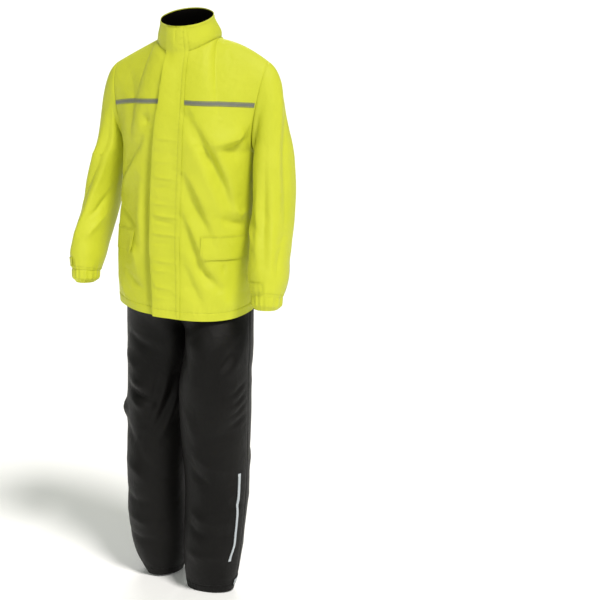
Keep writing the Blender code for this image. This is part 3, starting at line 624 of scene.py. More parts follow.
def weave_group() -> bpy.types.NodeTree:
    """Plain weave from the cloth's own UV map: sin(2 pi n u) sin(2 pi n v) for n threads a metre.

    Returns:
        The group, with the outputs Height and Tone.
    """
    if "weave" in bpy.data.node_groups:
        return bpy.data.node_groups["weave"]
    tree, start, end = new_group("weave", {"Threads": 1200.0, "Slub": 0.4})
    uv = tree.nodes.new("ShaderNodeUVMap")
    uv.uv_map = "cloth"
    split = add_node(tree, "SeparateXYZ", i0=uv.outputs[0])
    turns = math_node(tree, "MULTIPLY", start.outputs["Threads"], 2.0 * math.pi)
    warp = math_node(tree, "SINE", math_node(tree, "MULTIPLY", split.outputs[0], turns))
    weft = math_node(tree, "SINE", math_node(tree, "MULTIPLY", split.outputs[1], turns))
    over = math_node(tree, "MULTIPLY", warp, weft)
    stretch = add_node(tree, "VectorMath", i0=uv.outputs[0], i1=(260.0, 18.0, 1.0))
    stretch.operation = "MULTIPLY"
    slub = add_node(tree, "TexNoise", Vector=stretch.outputs[0], Scale=1.0, Detail=2.0)
    tone = math_node(tree, "MULTIPLY_ADD", slub.outputs[0], start.outputs["Slub"], 0.0)
    tree.links.new(math_node(tree, "ADD", over, tone), end.inputs["Height"])
    tree.links.new(math_node(tree, "MULTIPLY_ADD", over, 0.25, math_node(tree, "ADD", tone, 0.3)),
                   end.inputs["Tone"])
    return tree


def crumple_group() -> bpy.types.NodeTree:
    """Small creases and uneven shade of coated cloth, from noise on object coordinates.

    Returns:
        The group, with the outputs Height and Tone.
    """
    if "crumple" in bpy.data.node_groups:
        return bpy.data.node_groups["crumple"]
    tree, start, end = new_group("crumple", {"Size": 0.05, "Patch": 0.16})
    place = tree.nodes.new("ShaderNodeTexCoord").outputs["Object"]
    scale = math_node(tree, "DIVIDE", 1.0, start.outputs["Size"])
    bend = add_node(tree, "TexNoise", Vector=place, Scale=scale, Detail=2.0, Roughness=0.45, Distortion=0.6)
    ridge = add_node(tree, "TexNoise", Vector=place, Detail=2.0, Roughness=0.35, Distortion=0.5)
    ridge.noise_type = "RIDGED_MULTIFRACTAL"
    tree.links.new(math_node(tree, "MULTIPLY", scale, 0.6), ridge.inputs["Scale"])
    creases = math_node(tree, "MULTIPLY_ADD", ridge.outputs[0], 0.35, bend.outputs[0])
    tree.links.new(creases, end.inputs["Height"])
    patch = math_node(tree, "DIVIDE", 1.0, start.outputs["Patch"])
    tone = add_node(tree, "TexNoise", Vector=place, Scale=patch, Detail=3.0, Roughness=0.55)
    tree.links.new(tone.outputs[0], end.inputs["Tone"])
    return tree


def bead_group() -> bpy.types.NodeTree:
    """Fine glass beads of reflective tape, from cells on object coordinates.

    Returns:
        The group, with the outputs Height and Tone.
    """
    if "beads" in bpy.data.node_groups:
        return bpy.data.node_groups["beads"]
    tree, start, end = new_group("beads", {"Beads": 1600.0})
    place = tree.nodes.new("ShaderNodeTexCoord").outputs["Object"]
    cells = add_node(tree, "TexVoronoi", Vector=place, Scale=start.outputs["Beads"])
    tree.links.new(math_node(tree, "SUBTRACT", 1.0, cells.outputs["Distance"]), end.inputs["Height"])
    worn = add_node(tree, "TexNoise", Vector=place, Scale=42.0, Detail=4.0, Roughness=0.6)
    tree.links.new(worn.outputs[0], end.inputs["Tone"])
    return tree


def group_node(tree: bpy.types.NodeTree, group: bpy.types.NodeTree, **inputs: float) -> bpy.types.Node:
    """Place a node group in a material with its own values."""
    node = tree.nodes.new("ShaderNodeGroup")
    node.node_tree = group
    for name, value in inputs.items():
        node.inputs[name].default_value = value
    return node


def mixed(tree: bpy.types.NodeTree, share: bpy.types.NodeSocket, low: tuple[float, ...],
          high: tuple[float, ...]) -> bpy.types.NodeSocket:
    """Colour between two colours by a share that changes over the surface.

    Args:
        tree: Tree that gets the node.
        share: Share of the second colour.
        low: First colour.
        high: Second colour.

    Returns:
        The colour.
    """
    ramp = tree.nodes.new("ShaderNodeValToRGB")
    tree.links.new(share, ramp.inputs[0])
    ramp.color_ramp.elements[0].position = 0.3
    ramp.color_ramp.elements[1].position = 0.7
    ramp.color_ramp.elements[0].color = (*low, 1.0)
    ramp.color_ramp.elements[1].color = (*high, 1.0)
    return ramp.outputs[0]


@dataclass(frozen=True)
class Finish:
    """A cloth finish: two near colours, weave, creases, sheen and gloss."""

    label: str
    slot: Slot
    low: tuple[float, float, float]
    high: tuple[float, float, float]
    roughness: tuple[float, float] = (0.46, 0.58)
    specular: float = 0.35
    sheen: float = 0.1
    threads: float = 1200.0
    weave_depth: float = 0.00005
    crease_size: float = 0.05
    crease_depth: float = 0.0012
    beads: bool = False

    def material(self) -> bpy.types.Material:
        """Build this finish once and hand the same material to every piece."""
        if self.label in bpy.data.materials:
            return bpy.data.materials[self.label]
        material = bpy.data.materials.new(self.label)
        material.use_nodes = True
        tree = material.node_tree
        shader = tree.nodes["Principled BSDF"]
        crumple = group_node(tree, crumple_group(), Size=self.crease_size)
        if self.beads:
            fine = group_node(tree, bead_group())
        else:
            fine = group_node(tree, weave_group(), Threads=self.threads)
        tone = math_node(tree, "MULTIPLY_ADD", fine.outputs["Tone"], 0.3,
                         math_node(tree, "MULTIPLY", crumple.outputs["Tone"], 0.75))
        tree.links.new(mixed(tree, tone, self.low, self.high), shader.inputs["Base Color"])
        gloss = add_node(tree, "MapRange", Value=crumple.outputs["Tone"])
        gloss.inputs["To Min"].default_value = self.roughness[0]
        gloss.inputs["To Max"].default_value = self.roughness[1]
        tree.links.new(gloss.outputs[0], shader.inputs["Roughness"])
        creases = add_node(tree, "Bump", Height=crumple.outputs["Height"], Distance=self.crease_depth)
        weave = add_node(tree, "Bump", Height=fine.outputs["Height"], Distance=self.weave_depth,
                         Normal=creases.outputs[0])
        tree.links.new(weave.outputs[0], shader.inputs["Normal"])
        shader.inputs["Specular IOR Level"].default_value = self.specular
        shader.inputs["Sheen Weight"].default_value = self.sheen
        return material


YELLOW = Finish("yellow_coated_cloth", Slot.YELLOW, (0.560, 0.600, 0.028), (0.620, 0.648, 0.040),
                roughness=(0.44, 0.56), specular=0.26, sheen=0.03, crease_size=0.048, crease_depth=0.0034)
DARK = Finish("dark_coated_cloth", Slot.DARK, (0.0034, 0.0031, 0.0029), (0.0080, 0.0075, 0.0070),
              roughness=(0.42, 0.54), specular=0.13, sheen=0.0, crease_size=0.05, crease_depth=0.0030)
LINING = Finish("black_lining", Slot.LINING, (0.003, 0.0025, 0.002), (0.005, 0.004, 0.003),
                roughness=(0.75, 0.85), specular=0.08, sheen=0.0, threads=900.0)
GREY_TAPE = Finish("grey_reflective_tape", Slot.GREY_TAPE, (0.12, 0.125, 0.095), (0.22, 0.235, 0.200),
                   roughness=(0.38, 0.5), specular=0.5, sheen=0.0, beads=True, crease_depth=0.0004)
SILVER_TAPE = Finish("silver_reflective_tape", Slot.SILVER_TAPE, (0.42, 0.46, 0.50), (0.52, 0.56, 0.59),
                     roughness=(0.38, 0.5), specular=0.5, sheen=0.0, beads=True, crease_depth=0.0004)
ZIP = Finish("dull_zip", Slot.ZIP, (0.06, 0.06, 0.035), (0.09, 0.09, 0.055), specular=0.4)
YELLOW_THREAD = Finish("yellow_thread", Slot.YELLOW, (0.44, 0.47, 0.026), (0.52, 0.55, 0.034),
                       roughness=(0.6, 0.7), threads=2600.0, crease_depth=0.0001)
DARK_THREAD = Finish("dark_thread", Slot.DARK, (0.006, 0.006, 0.006), (0.014, 0.014, 0.014),
                     roughness=(0.6, 0.7), threads=2600.0, crease_depth=0.0001)


@dataclass
class Stitches:
    """Rows of lockstitch, each stitch a small eight-sided bead half sunk in the cloth."""

    length: float = 0.0032
    pitch: float = 0.0043
    width: float = 0.0009
    rise: float = 0.00045

    def __post_init__(self) -> None:
        """Start with no stitches."""
        self.points: list[Grid] = []

    def sew(self, cloth: Cloth, across: Grid, up: Grid, lift: float = 0.0002) -> None:
        """Lay a row of stitches along a line on the cloth, evenly by length.

        Args:
            cloth: The sheet that is sewn.
            across: Column positions along the line.
            up: Row positions along the line.
            lift: Height of the thread's middle above the cloth.
        """
        fine = np.linspace(0.0, 1.0, 400)
        at = np.linspace(0.0, 1.0, len(across))
        across = np.interp(fine, at, across)
        up = np.interp(fine, at, up)
        line = cloth.at(across, up, lift)
        above = cloth.at(across, up, lift + 0.001)
        run = lengths_along(line)
        count = max(1, int(run[-1] / self.pitch))
        middle = (np.arange(count) + 0.5) * run[-1] / count

        def read(values: Grid, offset: float) -> Grid:
            """Values along the line at each stitch's middle plus an offset."""
            at_run = np.clip(middle + offset, 0.0, run[-1])
            return np.stack([np.interp(at_run, run, values[:, k]) for k in range(3)], -1)

        centre = read(line, 0.0)
        along = read(line, self.length / 2) - read(line, -self.length / 2)
        along = along / np.maximum(np.linalg.norm(along, axis=-1, keepdims=True), 1e-9)
        normal = read(above, 0.0) - centre
        normal = normal / np.linalg.norm(normal, axis=-1, keepdims=True)
        side = np.cross(along, normal)
        rows = [centre - along * self.length / 2]
        for end in (-0.3, 0.3):
            for turn in range(4):
                bend = math.radians(90.0 * turn + 45.0)
                rows.append(centre + along * self.length * end + side * self.width * 0.7 * math.cos(bend)
                            + normal * self.rise * 1.4 * math.sin(bend))
        rows.append(centre + along * self.length / 2)
        self.points.append(np.stack(rows, 1))

    def mesh(self, name: str) -> bpy.types.Mesh:
        """All the stitches as one mesh.

        Args:
            name: Name of the mesh.

        Returns:
            The mesh.
        """
        points = np.concatenate(self.points)
        turn = np.arange(4)
        after = (turn + 1) % 4
        tail = np.stack([0 * turn, 1 + turn, 1 + after, 1 + after], -1)
        body = np.stack([1 + turn, 5 + turn, 5 + after, 1 + after], -1)
        tip = np.stack([5 + turn, 9 + 0 * turn, 5 + after, 5 + after], -1)
        base = (np.arange(len(points)) * 10)[:, None, None]
        ends = np.concatenate([tail[:, :3], tip[:, :3]])
        triangles = (ends[None] + base).reshape(-1, 3)
        quads = (body[None] + base).reshape(-1, 4)
        points = points.reshape(-1, 3).copy()
        points[:, 2] -= HOLD_HEIGHT
        mesh = bpy.data.meshes.new(name)
        mesh.from_pydata(points.tolist(), [], triangles.tolist() + quads.tolist())
        layer = mesh.uv_layers.new(name="cloth")
        corners = np.zeros(len(mesh.loops), int)
        mesh.loops.foreach_get("vertex_index", corners)
        layer.data.foreach_set("uv", points[corners][:, (0, 2)].astype(np.float32).ravel())
        mesh.polygons.foreach_set("use_smooth", np.ones(len(mesh.polygons), bool))
        mesh.update()
        return mesh


def ripples(across: Grid, up: Grid, size: float, seed: int) -> Grid:
    """Uneven small waves: the mean of twelve sines in seeded directions, from -1 to 1.

    Args:
        across: Distances across the cloth.
        up: Distances up the cloth.
        size: Usual length of a wave.
        seed: Number that fixes the directions.

    Returns:
        Heights of the waves.
    """
    random = np.random.default_rng(seed)
    total = np.zeros(np.broadcast(across, up).shape)
    for turn, start, scale in zip(random.uniform(0, math.pi, 12), random.uniform(0, 6.3, 12),
                                  random.uniform(0.6, 1.8, 12)):
        wave = 2.0 * math.pi / (size * scale)
        total = total + np.sin((across * math.cos(turn) + 0.6 * up * math.sin(turn)) * wave + start)
    return total / 5.0


def seam_dip(cloth: Cloth, sides: str, depth: float = 0.0011, width: float = 0.0028) -> Cloth:
    """Turn sewn edges in: depth * exp(-(d / width)^2), where d is the distance from the edge.

    Args:
        cloth: The sheet.
        sides: Letters of the edges: l and r for the first and last column, t for the top row.
        depth: How far the edge goes in.
        width: How far from the edge the dip reaches.

    Returns:
        The sheet with its edges turned in.
    """
    columns = lengths_along(cloth.points, 1)
    rows = lengths_along(cloth.points)
    dip = np.zeros(rows.shape)
    if "l" in sides:
        dip = np.maximum(dip, np.exp(-(columns / width) ** 2))
    if "r" in sides:
        dip = np.maximum(dip, np.exp(-((columns[:, -1:] - columns) / width) ** 2))
    if "t" in sides:
        dip = np.maximum(dip, np.exp(-((rows[-1:] - rows) / width) ** 2))
    return cloth.pushed(-depth * dip)


def hem_form(cloth: Cloth, depth: float, seed: int) -> Cloth:
    """Doubled hem: thicker below its stitch line, with a groove and small puckers along the line.

    Args:
        cloth: The sheet, with its hem at the first row.
        depth: Height of the hem.
        seed: Number that fixes the puckers.

    Returns:
        The sheet with its hem.
    """
    rows = lengths_along(cloth.points)
    columns = lengths_along(cloth.points, 1)
    step = 0.0006 * (1.0 - smoothstep((rows - depth) / 0.003 + 0.5))
    groove = -0.0007 * np.exp(-((rows - depth) / 0.0022) ** 2)
    pucker = 0.0006 * np.sin(columns * 2 * math.pi / 0.013 + 4 * ripples(columns, rows, 0.09, seed))
    pucker = pucker * np.exp(-((rows - depth) / 0.010) ** 2)
    return cloth.pushed(step + groove + pucker)


def gathers(angle: Grid) -> Grid:
    """Gathers round a cuff, from 0 to 1: a sine of uneven pitch, sixteen to a turn."""
    turn = np.radians(angle)
    return 0.5 + 0.5 * np.sin(turn * 16.0 + 0.9 * np.sin(turn * 3.0))


def placed(sheet: Cloth, side: Side) -> Cloth:
    """A left-hand sheet as it is, or mirrored for the right-hand side.

    Args:
        sheet: The sheet, made for the left.
        side: Side of the wearer.

    Returns:
        The sheet on that side.
    """
    if side is Side.LEFT:
        return sheet
    points = sheet.points[:, ::-1] * np.array([-1.0, 1.0, 1.0])
    return Cloth(points, -sheet.across[::-1], sheet.up, sheet.closed)


@dataclass
class Jacket:
    """The jacket: its body with tape, pocket flaps and casing, its sleeves, collar and storm flap."""

    power: float = 2.2
    neck_half_width: float = 0.086
    neck_front: float = 0.084
    neck_back: float = 0.076
    neck_front_height: float = 1.492
    neck_side_heights: tuple[float, float] = (1.521, 1.528)
    neck_back_height: float = 1.530
    tips: tuple[tuple[float, float, float], ...] = ((-0.216, 0.008, 1.452), (0.224, 0.012, 1.470))
    bows: tuple[float, float] = (0.001, 0.010)
    tape_height: float = 1.366
    tape_ends: tuple[float, float] = (1.343, 1.359)
    tape_width: float = 0.0124
    rim_radius: float = 0.071
    rim_middle: float = -0.018
    rim_heights: tuple[float, float] = (1.562, 1.600)
    step: float = 0.0036
    front_columns: float = 1.25
    chest_step: float = 0.0130
    hem_depth: float = 0.022
    hem_seam: float = 0.049
    seam_step: float = 0.0028
    tape_spans: tuple[tuple[float, float], ...] = ((12.0, 88.5), (-88.5, -9.0), (91.5, 268.5))
    pocket_spans: tuple[tuple[float, float], ...] = ((27.5, 79.0), (-32.0, -79.0))
    pocket_bottom: float = 0.951
    pocket_tall: float = 0.063
    pocket_curl: float = 0.0120
    flap_rows: int = 210
    flap_width: float = 0.07
    flap_seam: float = 0.832
    flap_foot: float = 0.0014
    flap_lifts: tuple[float, float] = (0.0022, 0.0075)
    flap_pucker: float = 1.8
    casing_span: tuple[float, float] = (112.5, 135.0)
    casing_bottom: float = 1.0412
    casing_tall: float = 0.040
    casing_gathers: float = 28.0
    sleeve_twist: float = 48.0
    cap_step: float = 0.014
    cap_reach: tuple[tuple[float, float], ...] = ((0.74, 0.40), (0.95, 0.55))
    cuff_top: float = 0.094
    cuff_tab_spans: tuple[tuple[float, float], ...] = ((-38.0, 14.0), (22.0, 74.0))
    front_relief: float = 1.9
    back_relief: float = 1.5
    sleeve_relief: float = 1.6

    def __post_init__(self) -> None:
        """Start the row of stitches."""
        self.stitches = Stitches()

    def neck_edge(self, angle: Grid, back: bool) -> Grid:
        """Top edge of a panel: a quarter of the neck's ellipse as far as 45 degrees, then the shoulder.

        Args:
            angle: Column angles.
            back: Whether the panel is the back.

        Returns:
            Points of the edge.
        """
        left = np.sin(np.radians(angle)) >= 0
        side = np.where(left, 1.0, -1.0)
        from_middle = np.abs((angle - (180.0 if back else 0.0) + 180.0) % 360.0 - 180.0)
        turn = np.radians(np.clip(from_middle * 2.0, 0.0, 90.0))
        depth = self.neck_back if back else -self.neck_front
        middle = self.neck_back_height if back else self.neck_front_height
        side_height = np.where(left, self.neck_side_heights[1], self.neck_side_heights[0])
        height = middle + (side_height - middle) * np.sin(turn) ** 2
        neck = np.stack([side * self.neck_half_width * np.sin(turn), depth * np.cos(turn), height], -1)
        along = np.clip(from_middle / 45.0 - 1.0, 0.0, 1.0)[..., None]
        tip = np.where(left[..., None], self.tips[1], self.tips[0])
        bow = np.where(left, self.bows[1], self.bows[0])[..., None] * np.sin(np.pi * along)
        return neck + (tip - neck) * along + bow * np.array([0.0, 0.0, 1.0])

    def body(self, angle: Grid, back: bool) -> Cloth:
        """Smooth jacket body: rings below the underarm, then a cubic over the chest to the top edge.

        Args:
            angle: Column angles.
            back: Whether the panel is the back.

        Returns:
            The sheet; its rows are 0 at the hem, 1 at the underarm and 2 at the top edge.
        """
        low_rows = np.concatenate([[0.0, 0.004, 0.010], np.linspace(0.02, 1.0, 112)])
        low_rows = np.unique(np.concatenate([low_rows, self.hem_seam + np.arange(-3, 4) * self.seam_step]))
        high_rows = spaced(0.0, 1.0, self.chest_step)[1:]
        columns = angle[None, :]
        hem_table = BACK_HEM if back else FRONT_HEM
        hem = table_at(hem_table, columns % 360.0 if back else columns)[..., 0]
        height = hem + (UNDERARM_HEIGHT - hem) * low_rows[:, None]
        low = ring_point(TORSO, np.broadcast_to(columns, height.shape), height, self.power)
        side = np.where(np.sin(np.radians(columns)) >= 0, 1.0, -1.0)
        from_middle = np.abs((columns - (180.0 if back else 0.0) + 180.0) % 360.0 - 180.0) / 90.0
        facing = 1.0 if back else -1.0
        zero = 0.0 * from_middle
        edge = from_middle[..., None] ** 3
        over = smoothstep(from_middle[..., None] / 0.5)

        def direction(across: Grid, towards: tuple[float, float, float]) -> Grid:
            """One of the cubic's directions at every column."""
            return np.stack([across * towards[0], zero + towards[1] * facing, zero + towards[2]], -1)

        leave = direction(zero, LEAVE_MIDDLE)
        leave = leave + (direction(side, LEAVE_SIDE) - leave) * edge
        arrive = direction(zero, ARRIVE_MIDDLE)
        arrive = arrive + (direction(side * from_middle, ARRIVE_SIDE) - arrive) * over
        top = self.neck_edge(columns, back)
        high = hermite(low[-1:], top, leave, arrive, high_rows[:, None, None])
        return Cloth(np.concatenate([low, high]), angle, np.concatenate([low_rows, 1.0 + high_rows]))

    def shaped(self, cloth: Cloth, folds: tuple[Fold, ...], seed: int, front: bool) -> Cloth:
        """Give a body sheet its folds, its small unevenness and its hem.

        Args:
            cloth: The smooth sheet.
            folds: Its folds.
            seed: Number that fixes its unevenness.
            front: Whether it is the front, whose middle lies quiet under the flap.

        Returns:
            The worn sheet.
        """
        middle = 0.0 if front else 180.0
        angle = np.abs((cloth.across - middle + 180.0) % 360.0 - 180.0)[None, :]
        quiet = smoothstep((90.0 - angle) / 9.0 + 0.12) * smoothstep((2.0 - cloth.up) / 0.10)[:, None]
        if front:
            quiet = quiet * (0.2 + 0.8 * smoothstep((angle - 5.0) / 9.0))
        cloth = cloth.folded(folds, BODY_ARC, quiet * (self.front_relief if front else self.back_relief))
        small = ripples(np.radians(cloth.across)[None, :] * BODY_ARC, cloth.points[..., 2], 0.11, seed)
        cloth = cloth.pushed(0.0009 * small * quiet)
        return hem_form(cloth, self.hem_depth, seed)

    def tape_line(self, angle: Grid) -> Grid:
        """Height of the tape's middle: level at the middle, falling to the armholes as share^1.5.

        Args:
            angle: Column angles.

        Returns:
            Heights above the trouser hems.
        """
        turn = (angle + 180.0) % 360.0 - 180.0
        share = np.where(np.abs(turn) > 90.0, 180.0 - np.abs(turn), np.abs(turn)) / 90.0
        end = np.where(turn >= 0, self.tape_ends[1], self.tape_ends[0])
        return self.tape_height + (end - self.tape_height) * share**1.5

    def strip(self, cloth: Cloth, span: tuple[float, float], node: str, panel: str) -> None:
        """Reflective tape across a body sheet, sewn along both edges.

        Args:
            cloth: The sheet under it.
            span: Angles of its two ends.
            node: Node that it stands for.
            panel: Piece that it lies on.
        """
        angle = np.linspace(*span, 90)[None, :]
        offset = np.linspace(-0.5, 0.5, 7)[:, None] * self.tape_width
        up = cloth.up_at(angle + 0.0 * offset, self.tape_line(angle) + offset)
        edge = np.abs(offset) / (0.5 * self.tape_width)
        lift = LIFT + TRIM - 0.0003 * edge**4
        tape = Cloth(cloth.at(angle, up, lift), angle[0], offset[:, 0])
        Piece(f"{node}_strip", GREY_TAPE, (node,)).sheet(tape, TRIM, "laid", (panel,))
        for row in (1, -2):
            self.stitches.sew(cloth, angle[0], up[row], LIFT + TRIM)

    def build_body(self) -> None:
        """The two fronts and the back, with their tapes."""
        step = math.degrees(self.step / BODY_ARC)
        front = self.shaped(self.body(spaced(-90.0, 90.0, self.front_columns), False), FRONT_FOLDS, 3, True)
        back = self.shaped(self.body(spaced(90.0, 270.0, step), True), BACK_FOLDS, 5, False)
        middle = int(np.searchsorted(front.across, 0.0))
        left = Cloth(front.points[:, middle:], front.across[middle:], front.up)
        right = Cloth(front.points[:, :middle + 1], front.across[:middle + 1], front.up)
        self.front, self.back = front, back
        for name, cloth, sides in (("jacket_front_left", left, "rt"), ("jacket_front_right", right, "lt"),
                                   ("jacket_back", back, "lrt")):
            Piece(f"{name}_cloth", YELLOW, (name,)).sheet(seam_dip(cloth, sides))
        for cloth, span, node, panel in zip(
                (front, front, back), self.tape_spans, ("chest_tape_left", "chest_tape_right", "back_tape"),
                ("jacket_front_left_cloth", "jacket_front_right_cloth", "jacket_back_cloth")):
            self.strip(cloth, span, node, panel)
        for cloth in (front, back):
            up = np.full(200, self.hem_seam)
            self.stitches.sew(cloth, np.linspace(cloth.across[1], cloth.across[-2], 200), up)

    def build_pockets(self) -> None:
        """Pocket flaps: sewn along the top, lifting below, the right one curling at its inner corner."""
        even = np.linspace(0.0, 1.0, 61)[None, :]
        columns = np.arange(61.0)
        rise = np.concatenate([np.linspace(0.0, 1.0, 26), [0.05, 0.07, 0.09, 0.94, 0.97]])
        rise = np.unique(rise)[:, None]
        for side, (start, end) in zip(Side, self.pocket_spans):
            across = even if side is Side.LEFT else 1.0 - even
            angle = start + (end - start) * across
            height = self.pocket_bottom + self.pocket_tall * rise + 0.0 * across
            if side is Side.LEFT:
                corner = np.exp(-(across / 0.10) ** 1.5) * (0.2 + rise)
                lift = 0.0008 + 0.0014 * (1.0 - rise) + 0.0016 * corner
            else:
                curl = np.exp(-(across / 0.10) ** 1.3) * (1.0 - rise) ** 0.9
                lift = 0.0002 + 0.0002 * (1.0 - rise) + self.pocket_curl * curl
            lift = lift + 0.0005 * ripples(across * 0.14, rise * 0.06, 0.05, 8) * (1.0 - rise)
            lift = lift - 0.0003 * np.exp(-((rise - 0.95) / 0.018) ** 2)
            up = self.front.up_at(angle + 0.0 * rise, height)
            flap = Cloth(self.front.at(angle + 0.0 * rise, up, lift + WALL), columns, rise[:, 0])
            name = f"pocket_flap_{side.label}"
            panel = f"jacket_front_{side.label}_cloth"
            Piece(f"{name}_cloth", YELLOW, (name,)).sheet(flap, WALL, "hung", (panel,))
            for level in (0.93, 0.965):
                self.stitches.sew(flap, columns[2:-2], np.full(57, level), 0.0)
            self.stitches.sew(flap, columns[2:-2], np.full(57, 0.05), -0.0001)
            inner = 2.1 if side is Side.LEFT else 57.9
            self.stitches.sew(flap, np.full(40, inner), np.linspace(0.06, 0.95, 40), -0.0001)

    def collar_cloth(self) -> Cloth:
        """Collar from the neckline up to a tipped round rim, by the angle round the neck.

        Returns:
            The sheet; its columns are 0 to 360 degrees from the middle front.
        """
        turn = np.linspace(0.0, 360.0, 181)
        quarter = turn / 2.0
        front = self.neck_edge(np.where(turn > 180.0, quarter - 180.0, quarter), False)
        half = np.where(turn < 180.0, 180.0 - (180.0 - turn) / 2.0, 180.0 + (turn - 180.0) / 2.0)
        back = self.neck_edge(half, True)
        neck = np.where((np.abs(turn - 180.0) > 90.0)[:, None], front, back)
        share = arc_fraction(neck) * 2.0 * np.pi
        tilt = (1.0 - np.cos(share)) / 2.0
        rim = np.stack([
            self.rim_radius * np.sin(share), self.rim_middle - self.rim_radius * np.cos(share),
            self.rim_heights[0] + (self.rim_heights[1] - self.rim_heights[0]) * tilt], -1)
        rows = spaced(0.0, 1.0, 0.05)
        lean = np.array([0.0, 0.0, 0.06]) + outwards(np.degrees(share)) * 0.012
        rise = np.array([0.0, 0.0, 0.07])
        points = hermite(neck[None], rim[None], lean[None], rise[None, None], rows[:, None, None])
        collar = Cloth(points, turn, rows)
        wave = ripples(share[None, :] * 0.08, points[..., 2], 0.07, 12)
        return collar.pushed(0.0011 * wave * smoothstep(rows / 0.3)[:, None])

    def build_collar(self) -> None:
        """Stand collar, sewn along both edges, and its dark lining."""
        collar = self.collar_cloth()
        self.collar = collar
        Piece("collar_cloth", YELLOW, ("collar",)).sheet(collar)
        inner = collar.points - collar.normals * WALL
        inner = inner - collar.normals * LIFT
        rows = slice(1, -3)
        lining = Cloth(inner[rows], collar.across, collar.up[rows])
        piece = Piece("collar_lining_cloth", LINING, ("collar_lining",))
        piece.sheet(lining, TRIM, "hung", ("collar_cloth",))
        turn = np.linspace(20.0, 340.0, 200)
        for level in (0.06, 0.90):
            self.stitches.sew(collar, turn, np.full(200, level))

    def build_flap(self) -> None:
        """Storm flap: it follows the body and the collar, lifts at its free edge, and is puckered."""
        share = spaced(0.0, 1.0, 0.036)
        share = np.unique(np.concatenate([share, self.flap_seam + np.arange(-3, 4) * 0.014]))
        count = self.flap_rows
        low = np.linspace(0.789, 1.4895, count)
        up = self.front.up_at(np.zeros(count), low)
        rise = np.linspace(0.0, 1.0, 24)[1:-1]
        heights = np.concatenate([low, self.neck_front_height + 0.070 * rise])
        free = np.interp(heights, FLAP_EDGES[:, 0], FLAP_EDGES[:, 1])
        sewn = np.interp(heights, FLAP_EDGES[:, 0], FLAP_EDGES[:, 2])
        angle = free[:, None] + (sewn - free)[:, None] * share[None, :]
        on_body = self.front.at(angle[:count], up[:, None] + 0.0 * share)
        on_collar = self.collar.at((2.0 * angle[count:]) % 360.0, rise[:, None] * 0.99 + 0.0 * share)
        points = np.concatenate([on_body, on_collar])
        for _ in range(4):
            soft = (points[:-2] + points[1:-1] * 2 + points[2:]) / 4
            near = np.exp(-((np.arange(1, len(points) - 1) - count) / 7.0) ** 2)[:, None, None]
            points[1:-1] += (soft - points[1:-1]) * near
        under = Cloth(points, share * self.flap_width, heights)
        on_body_share = smoothstep((1.485 - heights) / 0.05)[:, None]
        free_lift = self.flap_lifts[0] + self.flap_lifts[1] * on_body_share
        across = share[None, :]
        turn = across * self.flap_width + 0.0 * heights[:, None]
        lift = self.flap_foot + free_lift * (1.0 - smoothstep(share / 0.75))[None, :]
        lift = lift + 0.0014 * np.exp(-((across - 0.45) / 0.25) ** 2)
        lift = lift + 0.0010 * ripples(turn, heights[:, None], 0.16, 21) * (1.0 - share)
        lift = lift - 0.0008 * np.exp(-((across - self.flap_seam) / 0.03) ** 2)
        level = heights[:, None] + 0.0 * share
        for height, push, reach, slope in FLAP_PUCKERS:
            fold = Fold(((0.0, height), (1.0, height + slope)), 0.006, 0.0035, push)
            bump = fold.height_at(turn, level, 0.0, reach * 180.0 / math.pi)
            lift = lift + self.flap_pucker * bump * smoothstep(share / 0.20)[None, :]
        scallop = np.sin(level * 2 * math.pi / 0.017 + 3 * ripples(turn, level, 0.12, 4))
        lift = lift + 0.0005 * scallop * np.exp(-((across - 0.80) / 0.10) ** 2)
        flap = under.pushed(np.maximum(lift, 0.0006) + WALL)
        Piece("storm_flap_cloth", YELLOW, ("storm_flap",)).sheet(
            flap, WALL, "hung", ("jacket_front_left_cloth", "jacket_front_right_cloth", "collar_cloth"))
        rows = heights[3:-3]
        self.stitches.sew(flap, np.full(len(rows), self.flap_seam * self.flap_width), rows)
        self.stitches.sew(flap, np.linspace(0.004, 0.066, 40), np.full(40, 0.811))

    def build_zip(self) -> None:
        """Closed zip under the flap: its tape, with a row of moulded teeth down the middle."""
        height = np.linspace(0.795, 1.486, 60)
        angle = np.array([-4.0, -2.5, -0.8, 0.8, 2.5, 4.0])
        up = self.front.up_at(np.zeros(60), height)
        lift = np.array([0.0003, 0.0003, 0.0010, 0.0010, 0.0003, 0.0003]) + 0.0006
        tape = Cloth(self.front.at(angle[None, :], up[:, None], lift[None, :]), angle, height)
        Piece("front_zip_tape", ZIP, ("front_zip",)).sheet(tape, 0.0006, "laid", ("jacket_front_left_cloth",))
        teeth = Stitches(length=0.0018, pitch=0.0026, width=0.0036, rise=0.0005)
        teeth.sew(tape, np.zeros(60), height, 0.0001)
        Piece("front_zip_teeth", ZIP).put(teeth.mesh("front_zip_teeth"))

